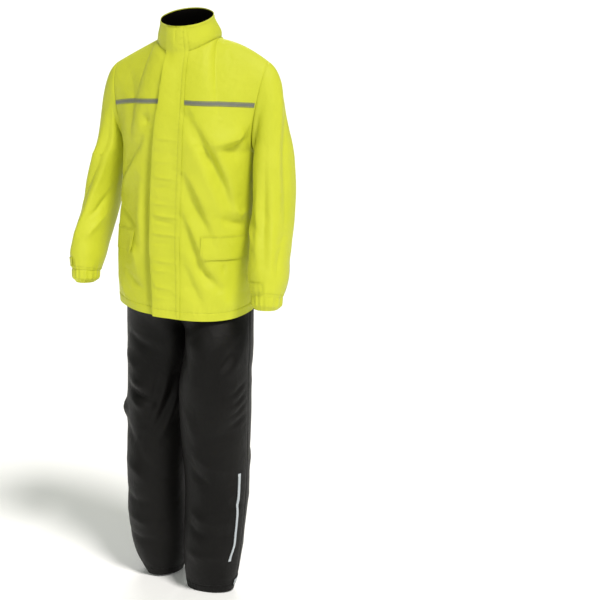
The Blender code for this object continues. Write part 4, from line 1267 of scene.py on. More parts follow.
    def build_casing(self) -> None:
        """Elastic casing across the back waist: gathers as a sharpened sine, sewn along both edges."""
        across = np.linspace(0.0, 1.0, 337)[None, :]
        rise = np.linspace(0.0, 1.0, 17)[:, None]
        angle = self.casing_span[0] + self.casing_span[1] * across
        bottom = self.casing_bottom - 0.001 * np.cos(np.radians(angle))
        height = bottom + self.casing_tall * rise
        up = self.back.up_at(angle + 0.0 * rise, height)
        bend = across * self.casing_gathers * 2.0 * math.pi
        bend = bend + 0.7 * np.sin(across * 23.0) + 0.35 * np.sin(rise * 5.0 + across * 40.0)
        wave = (0.5 + 0.5 * np.sin(bend)) ** 1.4
        swell = np.sin(math.pi * np.clip(rise, 0.0, 1.0)) ** 0.5
        even = 0.8 + 0.25 * np.sin(across * 61.0 + 1.0)
        lift = 0.0006 + 0.0030 * wave * even * (0.35 + 0.65 * swell) + 0.0006 * swell
        casing = Cloth(self.back.at(angle + 0.0 * rise, up, lift + WALL), across[0], rise[:, 0])
        piece = Piece("waist_casing_cloth", YELLOW, ("waist_casing",))
        piece.sheet(casing, WALL, "gathered", ("jacket_back_cloth",))
        for level in (0.10, 0.90):
            self.stitches.sew(casing, np.linspace(0.0, 1.0, 400), np.full(400, level))

    def sleeve_cloth(self, side: Side) -> tuple[Cloth, float]:
        """Sleeve: twisted rings up to the underarm, then a cubic to the armhole.

        Args:
            side: Side of the wearer, both worked out as on the left.

        Returns:
            The sheet as a left-hand sleeve, and the angle of its tape.
        """
        table = LEFT_SLEEVE if side is Side.LEFT else RIGHT_SLEEVE
        flip = np.array([side.value, 1.0, 1.0])
        rows = self.front.up >= 1.0
        front_column = -1 if side is Side.LEFT else 0
        front_edge = self.front.points[rows, front_column] * flip
        back_edge = self.back.points[rows, 0 if side is Side.LEFT else -1] * flip
        angle = np.arange(-90.0, 270.0, 360.0 / 128.0)
        climb = 180.0 * arc_fraction(front_edge) - 90.0
        fall = 270.0 - 180.0 * arc_fraction(back_edge)
        line = np.concatenate([front_edge, back_edge[-2::-1]])
        at = np.concatenate([climb, fall[-2::-1]])
        armhole = np.stack([np.interp(angle, at, line[:, k]) for k in range(3)], -1)
        tape = float(np.interp(self.tape_ends[1 if side is Side.LEFT else 0], back_edge[:, 2], fall))
        turned = angle - self.sleeve_twist
        height = spaced(table[0, 0], table[-1, 0], self.step)
        span = (height - height[0]) / (height[-1] - height[0])

        def ring(level: Grid) -> Grid:
            """Rings of the sleeve, each tilted by a share of the arm's slope."""
            x, y, half_width, half_depth = np.moveaxis(table_at(table, level)[:, None, :], -1, 0)
            ahead = table_at(table, level + 0.004)[:, 1:2]
            slope = (ahead - table_at(table, level - 0.004)[:, 1:2]) / 0.008
            reach = -half_depth * np.cos(np.radians(turned))[None, :]
            across = x + half_width * np.sin(np.radians(turned))[None, :]
            return np.stack([across, y + reach, level[:, None] - RING_TILT * slope * reach], -1)

        low = ring(height)
        leave = low[-1:] - low[-4:-3]
        leave = leave / np.linalg.norm(leave, axis=-1, keepdims=True)
        reach = np.linalg.norm(armhole - low[-1], axis=-1)[None, :, None]
        lift = (np.sin(np.radians(angle + 90.0) / 2.0) ** 2)[None, :, None]
        forward = np.clip(np.sin(np.radians(angle + 90.0)), 0.0, 1.0)[None, :, None]
        cap, cap_front = self.cap_reach[side is Side.RIGHT]
        arrive = (CAP_FROM_BELOW * (1.0 - lift) + CAP_INWARDS * (cap - cap_front * forward) * lift) * reach
        t = spaced(0.0, 1.0, self.cap_step)[1:]
        high = hermite(low[-1:], armhole[None], leave * reach, arrive, t[:, None, None])
        cloth = Cloth(np.concatenate([low, high]), turned, np.concatenate([span, 1.0 + t]), True)
        folds = LEFT_SLEEVE_FOLDS if side is Side.LEFT else RIGHT_SLEEVE_FOLDS
        quiet = smoothstep((cloth.up - 0.10) / 0.12) * (0.15 + 0.85 * smoothstep((1.9 - cloth.up) / 0.3))
        cloth = cloth.folded(folds, SLEEVE_ARC, self.sleeve_relief * quiet[:, None])
        small = ripples(np.radians(turned)[None, :] * SLEEVE_ARC, cloth.points[..., 2], 0.09, 30 + side.value)
        round_off = np.sin(np.radians(angle + 90.0) / 2.0)[None, :] ** 0.5
        return cloth.pushed(0.0008 * small * quiet[:, None] * round_off), tape - self.sleeve_twist

    def build_sleeve(self, side: Side) -> None:
        """One sleeve with its tape, gathered cuff, and the tab of the cuff.

        Args:
            side: Side of the wearer.
        """
        cloth, tape = self.sleeve_cloth(side)
        turned = cloth.across
        start = int(np.searchsorted(cloth.up, self.cuff_top)) - 1
        body = Cloth(cloth.points[start:], turned, cloth.up[start:], True)
        from_cuff = (body.up - self.cuff_top)[:, None]
        even = 0.7 + 0.3 * np.sin(np.radians(turned) * 5.0 + 1.0)
        gather = (gathers(turned) * even)[None, :]
        body = body.pushed(0.0022 * gather * np.exp(-(np.abs(from_cuff) / 0.045) ** 1.5)
                           + 0.0016 * np.exp(-((from_cuff - 0.02) / 0.03) ** 2))
        body = seam_dip(body, "t", 0.0010)
        whole = placed(body, side)
        name = f"sleeve_{side.label}"
        Piece(f"{name}_cloth", YELLOW, (name,)).sheet(whole)

        width = math.degrees(0.5 * self.tape_width / SLEEVE_ARC)
        column = np.linspace(tape - width, tape + width, 7)[None, :]
        up = np.concatenate([np.linspace(self.cuff_top + 0.03, 1.0, 110), np.linspace(1.0, 1.985, 50)[1:]])
        lift = LIFT + TRIM - 0.0003 * np.abs(np.linspace(-1, 1, 7)) ** 4
        strip = Cloth(body.at(column, up[:, None], lift[None, :]), column[0], up)
        node = f"sleeve_tape_{side.label}"
        piece = Piece(f"{node}_strip", GREY_TAPE, (node,))
        piece.sheet(placed(strip, side), TRIM, "laid", (f"{name}_cloth",))
        self.build_cuff(cloth, side)
        self.build_cuff_tab(body, side)

    def build_cuff(self, cloth: Cloth, side: Side) -> None:
        """Gathered cuff that rounds in at its hem.

        Args:
            cloth: The whole sleeve.
            side: Side of the wearer.
        """
        turn = np.linspace(-138.0, 222.0, 241)[None, :-1]
        level = spaced(0.0, self.cuff_top, 0.0078)[:, None]
        share = level / self.cuff_top
        swell = np.sin(math.pi * np.clip(share * 0.86 + 0.06, 0.0, 1.0)) ** 0.5
        round_in = -0.0080 * (1.0 - smoothstep(share / 0.45)) ** 2 - 0.0014 * smoothstep((share - 0.9) / 0.1)
        lift = 0.0022 * gathers(turn) ** 1.3 * swell + 0.0012 * swell + round_in
        cuff = Cloth(cloth.at(turn + 0.0 * level, level + 0.0 * turn, lift), turn[0], level[:, 0], True)
        name = f"cuff_{side.label}"
        Piece(f"{name}_cloth", YELLOW, (name,)).sheet(placed(cuff, side), WALL, "gathered")

    def build_cuff_tab(self, body: Cloth, side: Side) -> None:
        """Tab above the cuff, and the rows of stitches round it and round the cuff.

        Args:
            body: The sleeve above its cuff.
            side: Side of the wearer.
        """
        column = np.linspace(*self.cuff_tab_spans[side is Side.RIGHT], 25)[None, :]
        level = np.linspace(0.105, 0.168, 13)[:, None]
        end = np.abs(np.linspace(-1.0, 1.0, 25))[None, :]
        lift = 0.0016 + 0.0012 * end**4 + 0.0 * level
        tab = Cloth(body.at(column + 0.0 * level, level + 0.0 * column, lift + TRIM), column[0], level[:, 0])
        tab = placed(tab, side)
        name = f"cuff_tab_{side.label}"
        Piece(f"{name}_cloth", YELLOW, (name,)).sheet(tab, WALL, "hung", (f"sleeve_{side.label}_cloth",))
        whole = placed(body, side)
        ring = np.linspace(whole.across[0], whole.across[0] + 358.0, 240)
        self.stitches.sew(whole, ring, np.full(240, self.cuff_top + 0.014))
        for level in (0.112, 0.161):
            self.stitches.sew(tab, np.linspace(tab.across[1], tab.across[-2], 30), np.full(30, level))
        for at in (1, -2):
            self.stitches.sew(tab, np.full(20, tab.across[at]), np.linspace(0.112, 0.161, 20))

    def build(self) -> None:
        """Build the whole jacket."""
        self.build_body()
        self.build_collar()
        self.build_flap()
        self.build_zip()
        self.build_pockets()
        self.build_casing()
        self.build_sleeve(Side.LEFT)
        self.build_sleeve(Side.RIGHT)
        Piece("jacket_stitching", YELLOW_THREAD).put(self.stitches.mesh("jacket_stitching"))


@dataclass
class Trousers:
    """The trousers: four panels, the waistband, and the reflective pieces of both legs."""

    waist_height: float = 1.03
    band_height: float = 0.034
    step: float = 0.0042
    hem_depth: float = 0.022
    hem_rise: float = 0.006
    inner_start: float = 0.58
    inner_spread: float = 0.45
    stripe: tuple[float, float] = (0.10, 0.352)
    relief: float = 1.35
    hem_turn: tuple[float, float] = (-35.0, 190.0)

    def __post_init__(self) -> None:
        """Start the row of stitches."""
        self.stitches = Stitches()

    def ring(self, table: Grid, angle: Grid, height: Grid, sign: int) -> Grid:
        """Ring round one leg; its inner side closes on the middle towards the crotch.

        Args:
            table: Height, middle x, middle y, half width and half depth.
            angle: Angles in degrees.
            height: Heights above the hems.
            sign: 1 for the wearer's left leg, -1 for the right.

        Returns:
            Points of the ring.
        """
        level = np.minimum(height, CROTCH_HEIGHT)
        middle_x, middle_y, half_width, half_depth = np.moveaxis(table_at(table, level), -1, 0)
        sine = np.sin(np.radians(angle))
        cosine = np.cos(np.radians(angle))
        rise = smoothstep((level - self.inner_start) / (CROTCH_HEIGHT - self.inner_start))
        inner = np.exp(-((1.0 + sign * sine) / self.inner_spread) ** 2) * rise
        y = middle_y * (1.0 - inner) - half_depth * cosine
        return np.stack([sign * middle_x + half_width * sine, y, height], -1)

    def panel(self, side: Side, back: bool) -> Cloth:
        """Half a leg that blends into a quarter of the hips, with its folds.

        Args:
            side: Side of the wearer.
            back: Whether it is a back panel.

        Returns:
            The sheet; its columns are angles round the leg and its rows heights.
        """
        sign = side.value
        share = spaced(0.0, 1.0, self.step / (math.pi * LEG_ARC))[None, :]
        at_seam = self.hem_depth + np.arange(-3, 4) * 0.0011
        rows = np.concatenate([spaced(0.0, self.waist_height, self.step), at_seam])
        rows = np.unique(np.round(rows, 6))
        height = rows[:, None] + 0.0 * share
        if back:
            leg_angle = 90.0 + 180.0 * share
            hip_angle = 90.0 + 90.0 * share if sign > 0 else 180.0 + 90.0 * share
        else:
            leg_angle = -90.0 + 180.0 * share
            hip_angle = 90.0 * share if sign > 0 else -90.0 + 90.0 * share
        table = LEFT_LEG if side is Side.LEFT else RIGHT_LEG
        leg = self.ring(table, leg_angle + 0.0 * height, height, sign)
        hip = ring_point(PELVIS, hip_angle + 0.0 * height, height, HIP_POWER)
        blend = smoothstep((RISE_START - height) / (RISE_START - CROTCH_HEIGHT))[..., None]
        worn = hip + (leg - hip) * blend
        from_front = np.radians(leg_angle - self.hem_turn[side is Side.RIGHT])
        worn[..., 2] += self.hem_rise * (0.5 - 0.5 * np.cos(from_front)) * (1.0 - smoothstep(height / 0.07))
        cloth = Cloth(worn, leg_angle[0], rows)
        from_inner = np.abs((leg_angle + (90.0 if sign > 0 else -90.0) + 180.0) % 360.0 - 180.0)
        quiet = smoothstep(from_inner / 35.0) * smoothstep((rows - 0.01) / 0.05)[:, None]
        quiet = quiet * smoothstep((0.86 - rows) / 0.08)[:, None]
        folds = LEFT_LEG_FOLDS if side is Side.LEFT else RIGHT_LEG_FOLDS
        cloth = cloth.folded(folds, LEG_ARC, self.relief * quiet)
        small = ripples(np.radians(leg_angle) * LEG_ARC, height, 0.12, 50 + sign + 3 * back)
        ends = np.sin(np.pi * share) ** 0.5
        cloth = cloth.pushed(0.0012 * small * quiet * ends)
        return hem_form(cloth, self.hem_depth, 60 + sign)

    def patch(self, cloth: Cloth, across: tuple[float, float], heights: tuple[float, float], name: str,
              finish: Finish, lift: float, panel: str, tilt: float = 0.0, bend: float = 0.0) -> None:
        """Flat piece sewn on a leg.

        Args:
            cloth: The panel under it.
            across: Angles of its two sides.
            heights: Heights of its two ends.
            name: Its node's name.
            finish: Its finish.
            lift: Height of its outer face above the panel.
            panel: Piece that it lies on.
            tilt: How much its last side is higher than its first.
            bend: Angle by which its lower end is turned.
        """
        angle = np.linspace(*across, 21)[None, :]
        tall = heights[1] - heights[0]
        rows = np.linspace(0.0, 1.0, max(7, int(tall / 0.006)))[:, None]
        level = heights[0] + tall * rows + tilt * np.linspace(-0.5, 0.5, 21)[None, :]
        edge = np.maximum(np.abs(np.linspace(-1, 1, 21))[None, :] ** 12, np.abs(2 * rows - 1) ** 20)
        turn = angle + bend * (1.0 - smoothstep(rows / 0.25)) ** 1.5
        sheet = Cloth(cloth.at(turn + 0.0 * level, level, lift - 0.0003 * edge), angle[0], rows[:, 0])
        Piece(f"{name}_piece", finish, (name,)).sheet(sheet, TRIM, "laid", (panel,))
        for column in (angle[0, 1], angle[0, -2]):
            self.stitches.sew(sheet, np.full(40, column), np.linspace(0.03, 0.97, 40))

    def build(self) -> None:
        """Build the whole pair of trousers."""
        panels = {}
        for side in Side:
            for back in (False, True):
                cloth = self.panel(side, back)
                name = f"trouser_{'back' if back else 'front'}_{side.label}"
                panels[name] = cloth
                Piece(f"{name}_cloth", DARK, (name,)).sheet(seam_dip(cloth, "lr"))
                self.stitches.sew(cloth, np.linspace(cloth.across[1], cloth.across[-2], 90),
                                  np.full(90, self.hem_depth))
        left_front = panels["trouser_front_left"]
        left_back = panels["trouser_back_left"]
        right_back = panels["trouser_back_right"]
        joined = Cloth(np.concatenate([left_front.points, left_back.points[:, 1:]], 1),
                       np.concatenate([left_front.across, left_back.across[1:]]), left_front.up)
        self.patch(left_front, (65.5, 71.5), self.stripe, "leg_stripe_left", SILVER_TAPE, LIFT + TRIM,
                   "trouser_front_left_cloth", bend=-9.0)
        self.patch(right_back, (254.0, 260.5), self.stripe, "leg_stripe_right", SILVER_TAPE, LIFT + TRIM,
                   "trouser_back_right_cloth")
        self.patch(joined, (79.0, 150.0), (0.023, 0.045), "ankle_tab_left", DARK, 0.0016,
                   "trouser_back_left_cloth", 0.018)
        self.patch(joined, (83.0, 146.0), (0.0255, 0.0425), "ankle_patch_left", SILVER_TAPE, 0.0026,
                   "ankle_tab_left_piece", 0.016)
        self.patch(right_back, (203.0, 252.0), (0.047, 0.067), "ankle_tab_right", DARK, 0.0016,
                   "trouser_back_right_cloth")
        self.patch(right_back, (206.5, 248.5), (0.0495, 0.0645), "ankle_patch_right", SILVER_TAPE, 0.0026,
                   "ankle_tab_right_piece")

        turn = np.linspace(0.0, 360.0, 241)[None, :-1]
        rise = np.linspace(0.0, 1.0, 9)[:, None]
        height = self.waist_height + 0.0003 + self.band_height * rise + 0.0 * turn
        band = ring_point(PELVIS, turn + 0.0 * rise, height, HIP_POWER)
        band[..., 2] = height
        waist = Cloth(band, turn[0], rise[:, 0], True)
        wave = 0.5 + 0.5 * np.sin(np.radians(turn) * 40.0 + np.sin(np.radians(turn) * 7.0))
        waist = waist.pushed(0.0018 * wave * np.sin(math.pi * np.clip(rise, 0.05, 0.95)))
        Piece("trouser_waistband_cloth", DARK, ("trouser_waistband",)).sheet(waist, 0.0016, "gathered")
        Piece("trouser_stitching", DARK_THREAD).put(self.stitches.mesh("trouser_stitching"))


# height, angle of the storm flap's free edge, angle of its sewn edge
FLAP_EDGES = np.array([
    (0.78, -7.5, 11.0),
    (0.86, -9.0, 10.5),
    (0.98, -12.0, 9.5),
    (1.10, -12.5, 9.5),
    (1.22, -10.5, 10.8),
    (1.36, -8.5, 12.0),
    (1.46, -9.5, 12.0),
    (1.56, -10.5, 12.0),
])
# height at the sewn edge, push, length across, rise towards the sewn edge
FLAP_PUCKERS = (
    (1.270, 0.0016, 0.055, -0.004),
    (1.206, 0.0012, 0.050, 0.003),
    (1.168, 0.0018, 0.060, -0.006),
    (1.136, -0.0012, 0.050, 0.004),
    (1.096, 0.0016, 0.050, -0.003),
    (1.066, 0.0022, 0.066, -0.008),
    (1.050, -0.0018, 0.060, -0.008),
    (1.014, 0.0024, 0.069, -0.002),
    (0.986, -0.0012, 0.050, 0.004),
    (0.943, 0.0018, 0.060, -0.006),
    (0.911, 0.0013, 0.048, 0.005),
    (0.873, 0.0016, 0.055, -0.008),
    (0.838, 0.0010, 0.050, 0.004),
)

FRONT_FOLDS = folds(
    (-0.0070, 0.011, 0.024, 15, 1.330, 22, 1.300, 32, 1.248, 42, 1.195, 50, 1.150, 58, 1.08),
    (0.0055, 0.034, 0.011, 22, 1.322, 31, 1.280, 42, 1.225, 52, 1.165, 62, 1.09),
    (0.0050, 0.016, 0.022, 12, 1.300, 18, 1.262, 28, 1.200, 38, 1.130, 46, 1.070),
    (0.0060, 0.034, 0.009, 34, 1.258, 48, 1.262, 68, 1.272, 82, 1.300),
    (-0.0055, 0.009, 0.030, 42, 1.240, 60, 1.246, 78, 1.268),
    (-0.0060, 0.009, 0.020, 11, 1.172, 17, 1.140, 25, 1.085, 32, 1.035, 38, 1.005),
    (0.0042, 0.022, 0.010, 14, 1.190, 23, 1.130, 33, 1.060),
    (-0.0062, 0.009, 0.018, 11, 1.060, 19, 1.000, 27, 0.935, 36, 0.893, 46, 0.872),
    (0.0040, 0.018, 0.009, 13, 1.075, 24, 0.995, 33, 0.925),
    (-0.0050, 0.012, 0.020, 12, 0.948, 20, 0.880, 27, 0.842, 31, 0.815),
    (-0.0030, 0.008, 0.012, 26, 0.925, 38, 0.899, 44, 0.880),
    (-0.0040, 0.010, 0.014, 44, 1.062, 60, 1.048, 78, 1.034),
    (0.0030, 0.010, 0.014, 52, 1.085, 70, 1.070, 80, 1.075),
    (-0.0022, 0.006, 0.010, 50, 0.940, 50, 0.905),
    (0.0040, 0.020, 0.030, 40, 0.860, 52, 0.835, 60, 0.805),
    (-0.0028, 0.016, 0.026, -73, 1.450, -52, 1.375, -45, 1.300, -42, 1.25),
    (-0.0060, 0.014, 0.014, -24, 1.335, -22, 1.295),
    (-0.0065, 0.014, 0.016, -70, 1.140, -48, 1.190, -30, 1.245, -23, 1.290),
    (0.0045, 0.020, 0.020, -62, 1.100, -42, 1.165, -25, 1.235),
    (-0.0085, 0.008, 0.014, -13, 1.400, -15, 1.240, -19, 1.110, -17.5, 1.0, -15, 0.900, -12, 0.780),
    (0.0055, 0.016, 0.018, -23, 1.160, -25, 1.060, -24, 0.960),
    (-0.0045, 0.012, 0.016, -66, 1.075, -44, 1.045, -28, 1.018),
    (0.0035, 0.014, 0.016, -40, 1.000, -32, 0.950, -28, 0.900),
    (-0.0030, 0.010, 0.014, -46, 0.905, -30, 0.870, -18, 0.850),
    (0.0030, 0.014, 0.018, -60, 0.870, -42, 0.830, -30, 0.815),
    (0.0065, 0.050, 0.050, -66, 1.13, -66, 0.96, -66, 0.78),
)

BACK_FOLDS = folds(
    (-0.0075, 0.012, 0.018, 237, 1.29, 243, 1.35, 250, 1.41),
    (0.0050, 0.016, 0.020, 228, 1.34, 236, 1.26, 240, 1.18),
    (-0.0050, 0.016, 0.018, 120, 1.36, 126, 1.28, 128, 1.18),
    (-0.0045, 0.012, 0.022, 105, 1.27, 122, 1.25, 140, 1.26),
    (0.0045, 0.009, 0.011, 118, 1.20, 121, 1.10),
    (-0.0045, 0.010, 0.010, 129, 1.24, 132, 1.10),
    (0.0045, 0.009, 0.012, 140, 1.26, 142, 1.10),
    (-0.0040, 0.009, 0.010, 150, 1.22, 151, 1.10),
    (0.0050, 0.010, 0.010, 160, 1.27, 161, 1.10),
    (-0.0045, 0.009, 0.011, 171, 1.23, 171, 1.10),
    (0.0040, 0.010, 0.010, 182, 1.26, 181, 1.10),
    (-0.0050, 0.010, 0.012, 192, 1.28, 190, 1.10),
    (0.0050, 0.009, 0.010, 203, 1.25, 200, 1.10),
    (-0.0045, 0.010, 0.010, 213, 1.30, 210, 1.10),
    (0.0045, 0.009, 0.012, 223, 1.24, 221, 1.10),
    (-0.0040, 0.009, 0.010, 234, 1.20, 231, 1.10),
    (0.0040, 0.010, 0.010, 244, 1.22, 240, 1.10),
    (0.0065, 0.014, 0.018, 120, 0.80, 124, 0.92, 130, 1.03),
    (-0.0050, 0.012, 0.014, 131, 0.79, 134, 0.90, 138, 1.03),
    (0.0055, 0.012, 0.014, 143, 0.80, 145, 0.92, 148, 1.03),
    (-0.0060, 0.012, 0.014, 155, 0.79, 156, 0.92, 157, 1.03),
    (0.0050, 0.014, 0.012, 167, 0.79, 167, 1.03),
    (-0.0050, 0.012, 0.014, 180, 0.80, 179, 0.90, 177, 1.03),
    (0.0055, 0.012, 0.012, 192, 0.79, 190, 0.92, 187, 1.03),
    (-0.0060, 0.014, 0.012, 205, 0.79, 202, 0.90, 198, 1.03),
    (0.0055, 0.012, 0.014, 217, 0.80, 213, 0.92, 208, 1.03),
    (-0.0050, 0.013, 0.013, 230, 0.80, 226, 0.90, 219, 1.03),
    (0.0060, 0.014, 0.016, 243, 0.80, 237, 0.92, 230, 1.03),
    (-0.0045, 0.012, 0.014, 254, 0.82, 250, 0.92, 242, 1.03),
)

LEFT_SLEEVE_FOLDS = folds(
    (0.0042, 0.022, 0.014, 48, 1.43, 48, 1.30, 50, 1.12, 42, 0.98),
    (-0.0062, 0.014, 0.024, 70, 1.38, 68, 1.20, 66, 1.02),
    (-0.0040, 0.012, 0.016, 10, 1.25, 8, 1.10, 16, 0.95),
    (0.0035, 0.012, 0.014, 26, 1.14, 30, 1.02, 34, 0.92),
    (0.0040, 0.014, 0.012, -20, 1.18, -14, 1.05, -6, 0.94),
    (-0.0040, 0.009, 0.012, -60, 1.12, -30, 1.06, -8, 1.03),
    (0.0035, 0.010, 0.012, -70, 1.06, -35, 1.01, -15, 0.99),
    (-0.0030, 0.009, 0.010, 60, 1.00, 52, 0.93),
    (0.0040, 0.016, 0.018, 110, 1.30, 112, 1.15, 108, 0.98),
    (-0.0045, 0.014, 0.016, 135, 1.24, 134, 1.10, 130, 0.95),
    (0.0040, 0.014, 0.016, 165, 1.16, 160, 1.03, 152, 0.92),
    (-0.0040, 0.010, 0.012, 200, 1.10, 185, 1.06, 165, 1.05),
    (0.0035, 0.010, 0.012, 215, 1.02, 190, 0.99, 170, 0.99),
)
RIGHT_SLEEVE_FOLDS = folds(
    (-0.0050, 0.012, 0.020, -8, 1.30, 2, 1.18, 38, 1.08, 54, 0.96),
    (0.0040, 0.016, 0.014, -26, 1.26, -18, 1.14, 10, 1.02, 30, 0.93),
    (0.0040, 0.014, 0.018, 20, 1.30, 28, 1.18, 56, 1.06),
    (-0.0035, 0.014, 0.016, 70, 1.34, 62, 1.20, 78, 1.05),
    (-0.0040, 0.010, 0.012, -60, 1.10, -34, 1.05, -12, 1.03),
    (0.0035, 0.010, 0.012, -66, 1.04, -30, 0.99, -6, 0.97),
    (0.0040, 0.016, 0.018, 100, 1.28, 98, 1.12, 92, 0.96),
    (-0.0045, 0.014, 0.016, 128, 1.22, 126, 1.08, 120, 0.95),
    (0.0040, 0.014, 0.016, 160, 1.14, 154, 1.02, 146, 0.93),
    (-0.0040, 0.010, 0.012, 205, 1.10, 188, 1.06, 168, 1.05),
)

LEFT_LEG_FOLDS = folds(
    (-0.0060, 0.012, 0.020, 30, 0.645, 42, 0.672, 56, 0.712),
    (0.0040, 0.018, 0.018, 36, 0.625, 50, 0.655, 66, 0.690),
    (0.0060, 0.040, 0.040, 25, 0.575, 45, 0.545, 60, 0.500),
    (-0.0030, 0.006, 0.008, 80, 0.610, 62, 0.588, 50, 0.582),
    (-0.0030, 0.006, 0.008, 82, 0.580, 64, 0.560, 52, 0.556),
    (-0.0030, 0.006, 0.008, 82, 0.552, 64, 0.532, 50, 0.524),
    (-0.0028, 0.006, 0.008, 80, 0.520, 62, 0.500, 46, 0.488),
    (-0.0050, 0.020, 0.016, 60, 0.480, 30, 0.462, 0, 0.450),
    (0.0050, 0.020, 0.022, -40, 0.560, -18, 0.500, 0, 0.430),
    (-0.0050, 0.014, 0.018, -30, 0.385, -10, 0.350, 22, 0.318),
    (0.0045, 0.018, 0.018, -20, 0.420, 14, 0.380, 50, 0.360),
    (-0.0050, 0.012, 0.016, -44, 0.215, -10, 0.185, 28, 0.172, 56, 0.180),
    (0.0045, 0.016, 0.016, -40, 0.250, 0, 0.220, 46, 0.212),
    (0.0040, 0.014, 0.016, -50, 0.130, -10, 0.115, 40, 0.120),
    (-0.0032, 0.010, 0.012, 50, 0.290, 64, 0.262, 82, 0.250),
    (0.0045, 0.026, 0.026, -20, 0.740, 10, 0.690, 30, 0.600),
    (-0.0045, 0.014, 0.018, -60, 0.730, -40, 0.690, -20, 0.640),
    (-0.0055, 0.016, 0.022, 110, 0.640, 150, 0.600, 200, 0.570),
    (0.0040, 0.020, 0.016, 120, 0.600, 160, 0.560, 210, 0.530),
    (-0.0060, 0.016, 0.020, 120, 0.410, 160, 0.440, 225, 0.470),
    (0.0050, 0.014, 0.018, 115, 0.380, 160, 0.405, 220, 0.430),
    (-0.0050, 0.014, 0.018, 125, 0.345, 170, 0.350, 215, 0.320),
    (0.0045, 0.016, 0.016, 120, 0.270, 160, 0.250, 215, 0.262),
    (-0.0050, 0.014, 0.018, 125, 0.180, 165, 0.165, 220, 0.195),
    (0.0040, 0.014, 0.014, 120, 0.130, 160, 0.118, 210, 0.135),
)
RIGHT_LEG_FOLDS = folds(
    (-0.0085, 0.011, 0.013, -36, 0.556, -18, 0.540, 2, 0.528, 16, 0.524),
    (0.0050, 0.016, 0.014, -36, 0.580, -14, 0.566, 6, 0.560),
    (0.0040, 0.010, 0.012, -30, 0.520, -10, 0.508, 10, 0.505),
    (0.0065, 0.013, 0.013, 40, 0.615, 32, 0.560, 22, 0.510, 6, 0.445),
    (-0.0060, 0.011, 0.011, 50, 0.600, 42, 0.540, 30, 0.490, 16, 0.440),
    (0.0055, 0.013, 0.013, 58, 0.570, 48, 0.510, 34, 0.450, 24, 0.410),
    (-0.0050, 0.012, 0.012, 26, 0.620, 18, 0.560, 10, 0.490, -4, 0.430),
    (0.0085, 0.016, 0.016, -72, 0.512, -63, 0.484, -70, 0.452),
    (-0.0045, 0.016, 0.018, -70, 0.450, -40, 0.430, -15, 0.400),
    (0.0045, 0.018, 0.022, -60, 0.660, -34, 0.630, -10, 0.600),
    (-0.0050, 0.012, 0.018, -40, 0.715, -10, 0.690, 16, 0.676),
    (-0.0045, 0.014, 0.014, -8, 0.375, 8, 0.340, 30, 0.320),
    (0.0045, 0.016, 0.018, -50, 0.340, -14, 0.320, 12, 0.290),
    (-0.0045, 0.014, 0.018, -60, 0.250, -20, 0.230, 20, 0.240),
    (0.0045, 0.016, 0.016, -50, 0.190, 0, 0.170, 40, 0.185),
    (-0.0040, 0.012, 0.016, -60, 0.130, -10, 0.118, 30, 0.125),
    (-0.0055, 0.016, 0.022, 140, 0.640, 190, 0.600, 235, 0.570),
    (0.0045, 0.018, 0.016, 140, 0.590, 190, 0.555, 235, 0.530),
    (-0.0060, 0.016, 0.020, 135, 0.440, 185, 0.450, 235, 0.475),
    (0.0050, 0.014, 0.016, 140, 0.405, 185, 0.412, 230, 0.435),
    (-0.0050, 0.014, 0.018, 145, 0.350, 190, 0.352, 232, 0.318),
    (0.0045, 0.016, 0.016, 140, 0.280, 190, 0.262, 230, 0.270),
    (-0.0050, 0.014, 0.018, 140, 0.165, 185, 0.155, 225, 0.190),
    (0.0040, 0.014, 0.014, 150, 0.125, 190, 0.112, 230, 0.125),
)


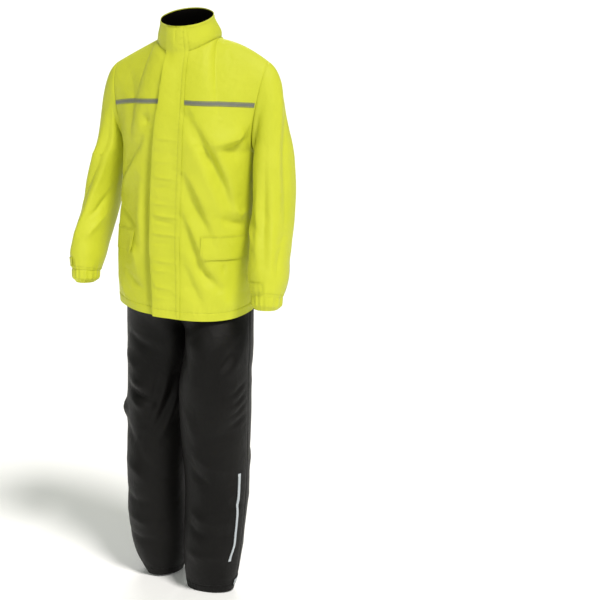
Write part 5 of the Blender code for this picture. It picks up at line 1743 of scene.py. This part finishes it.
@dataclass(frozen=True)
class Studio:
    """Pale floor, soft light and the camera at the photograph's angle."""

    azimuth: float = 26.0
    distance: float = 5.3
    camera_height: float = 2.05
    aim_height: float = 0.805
    lens: float = 118.8
    shift: float = 0.18333
    floor_reach: float = 60.0
    floor_glow: float = 0.05
    sky: float = 0.22

    def build(self) -> None:
        """Make the floor, the lights and the camera."""
        self.floor()
        self.lamp("key_light", 54.0, 56.0, 2.55, 14.0, (1.0, 0.965, 0.935))
        self.lamp("front_light", 14.0, 24.0, 0.42, 40.0, (1.0, 0.99, 0.97))
        self.lamp("back_light", 205.0, 42.0, 1.15, 30.0, (1.0, 0.98, 0.96))
        self.room()
        bpy.context.scene.view_settings.view_transform = "Standard"
        self.camera()

    def room(self) -> None:
        """Dim even light from all round, seen by the camera as a white backdrop."""
        world = bpy.data.worlds.new("soft_room")
        world.use_nodes = True
        tree = world.node_tree
        dim = tree.nodes["Background"]
        dim.inputs["Color"].default_value = (0.91, 1.0, 0.86, 1.0)
        dim.inputs["Strength"].default_value = self.sky
        white = add_node(tree, "Background", Color=(1.0, 1.0, 1.0, 1.0), Strength=1.0)
        seen = tree.nodes.new("ShaderNodeLightPath").outputs["Is Camera Ray"]
        mix = add_node(tree, "MixShader", i0=seen, i1=dim.outputs[0], i2=white.outputs[0])
        tree.links.new(mix.outputs[0], tree.nodes["World Output"].inputs["Surface"])
        bpy.context.scene.world = world

    def floor(self) -> None:
        """Plain pale floor under the hems, faintly uneven in tone."""
        reach = self.floor_reach
        ground = -HOLD_HEIGHT
        corners = [(-reach, -reach, ground), (reach, -reach, ground), (reach, reach, ground),
                   (-reach, reach, ground)]
        mesh = bpy.data.meshes.new("floor")
        mesh.from_pydata(corners, [], [(0, 1, 2, 3)])
        material = bpy.data.materials.new("pale_floor")
        material.use_nodes = True
        tree = material.node_tree
        shader = tree.nodes["Principled BSDF"]
        place = tree.nodes.new("ShaderNodeTexCoord").outputs["Object"]
        noise = add_node(tree, "TexNoise", Vector=place, Scale=0.4, Detail=1.0)
        tree.links.new(mixed(tree, noise.outputs[0], (0.975, 0.975, 0.975), (0.985, 0.985, 0.985)),
                       shader.inputs["Base Color"])
        shader.inputs["Roughness"].default_value = 0.9
        shader.inputs["Specular IOR Level"].default_value = 0.1
        shader.inputs["Emission Color"].default_value = (1.0, 1.0, 1.0, 1.0)
        shader.inputs["Emission Strength"].default_value = self.floor_glow
        mesh.materials.append(material)
        floor = bpy.data.objects.new("floor", mesh)
        bpy.context.scene.collection.objects.link(floor)

    def lamp(self, name: str, azimuth: float, elevation: float, strength: float, spread: float,
             colour: tuple[float, float, float]) -> None:
        """Broad soft light from far away.

        Args:
            name: Name of the lamp.
            azimuth: Direction it comes from, in degrees from the front towards the wearer's left.
            elevation: Its height in degrees.
            strength: Its strength.
            spread: How broad it is, in degrees.
            colour: Its colour.
        """
        light = bpy.data.lights.new(name, "SUN")
        light.color = colour
        light.energy = strength
        light.angle = math.radians(spread)
        lamp = bpy.data.objects.new(name, light)
        lamp.rotation_euler = (math.radians(90.0 - elevation), 0.0, math.radians(azimuth))
        bpy.context.scene.collection.objects.link(lamp)

    def camera(self) -> None:
        """Camera at the photograph's angle and framing."""
        data = bpy.data.cameras.new("photo_camera")
        data.sensor_width = 36.0
        data.lens = self.lens
        data.shift_x = self.shift
        camera = bpy.data.objects.new("photo_camera", data)
        around = math.radians(self.azimuth)
        drop = math.atan2(self.camera_height - self.aim_height, self.distance)
        camera.location = (self.distance * math.sin(around), -self.distance * math.cos(around),
                           self.camera_height - HOLD_HEIGHT)
        camera.rotation_euler = (math.radians(90.0) - drop, 0.0, around)
        bpy.context.scene.collection.objects.link(camera)
        bpy.context.scene.camera = camera


def main() -> None:
    """Build the jacket, the trousers and the studio in order."""
    logging.basicConfig(level=logging.INFO, format="%(name)s %(message)s")
    Jacket().build()
    Trousers().build()
    Studio().build()


if __name__ == "__main__":
    main()
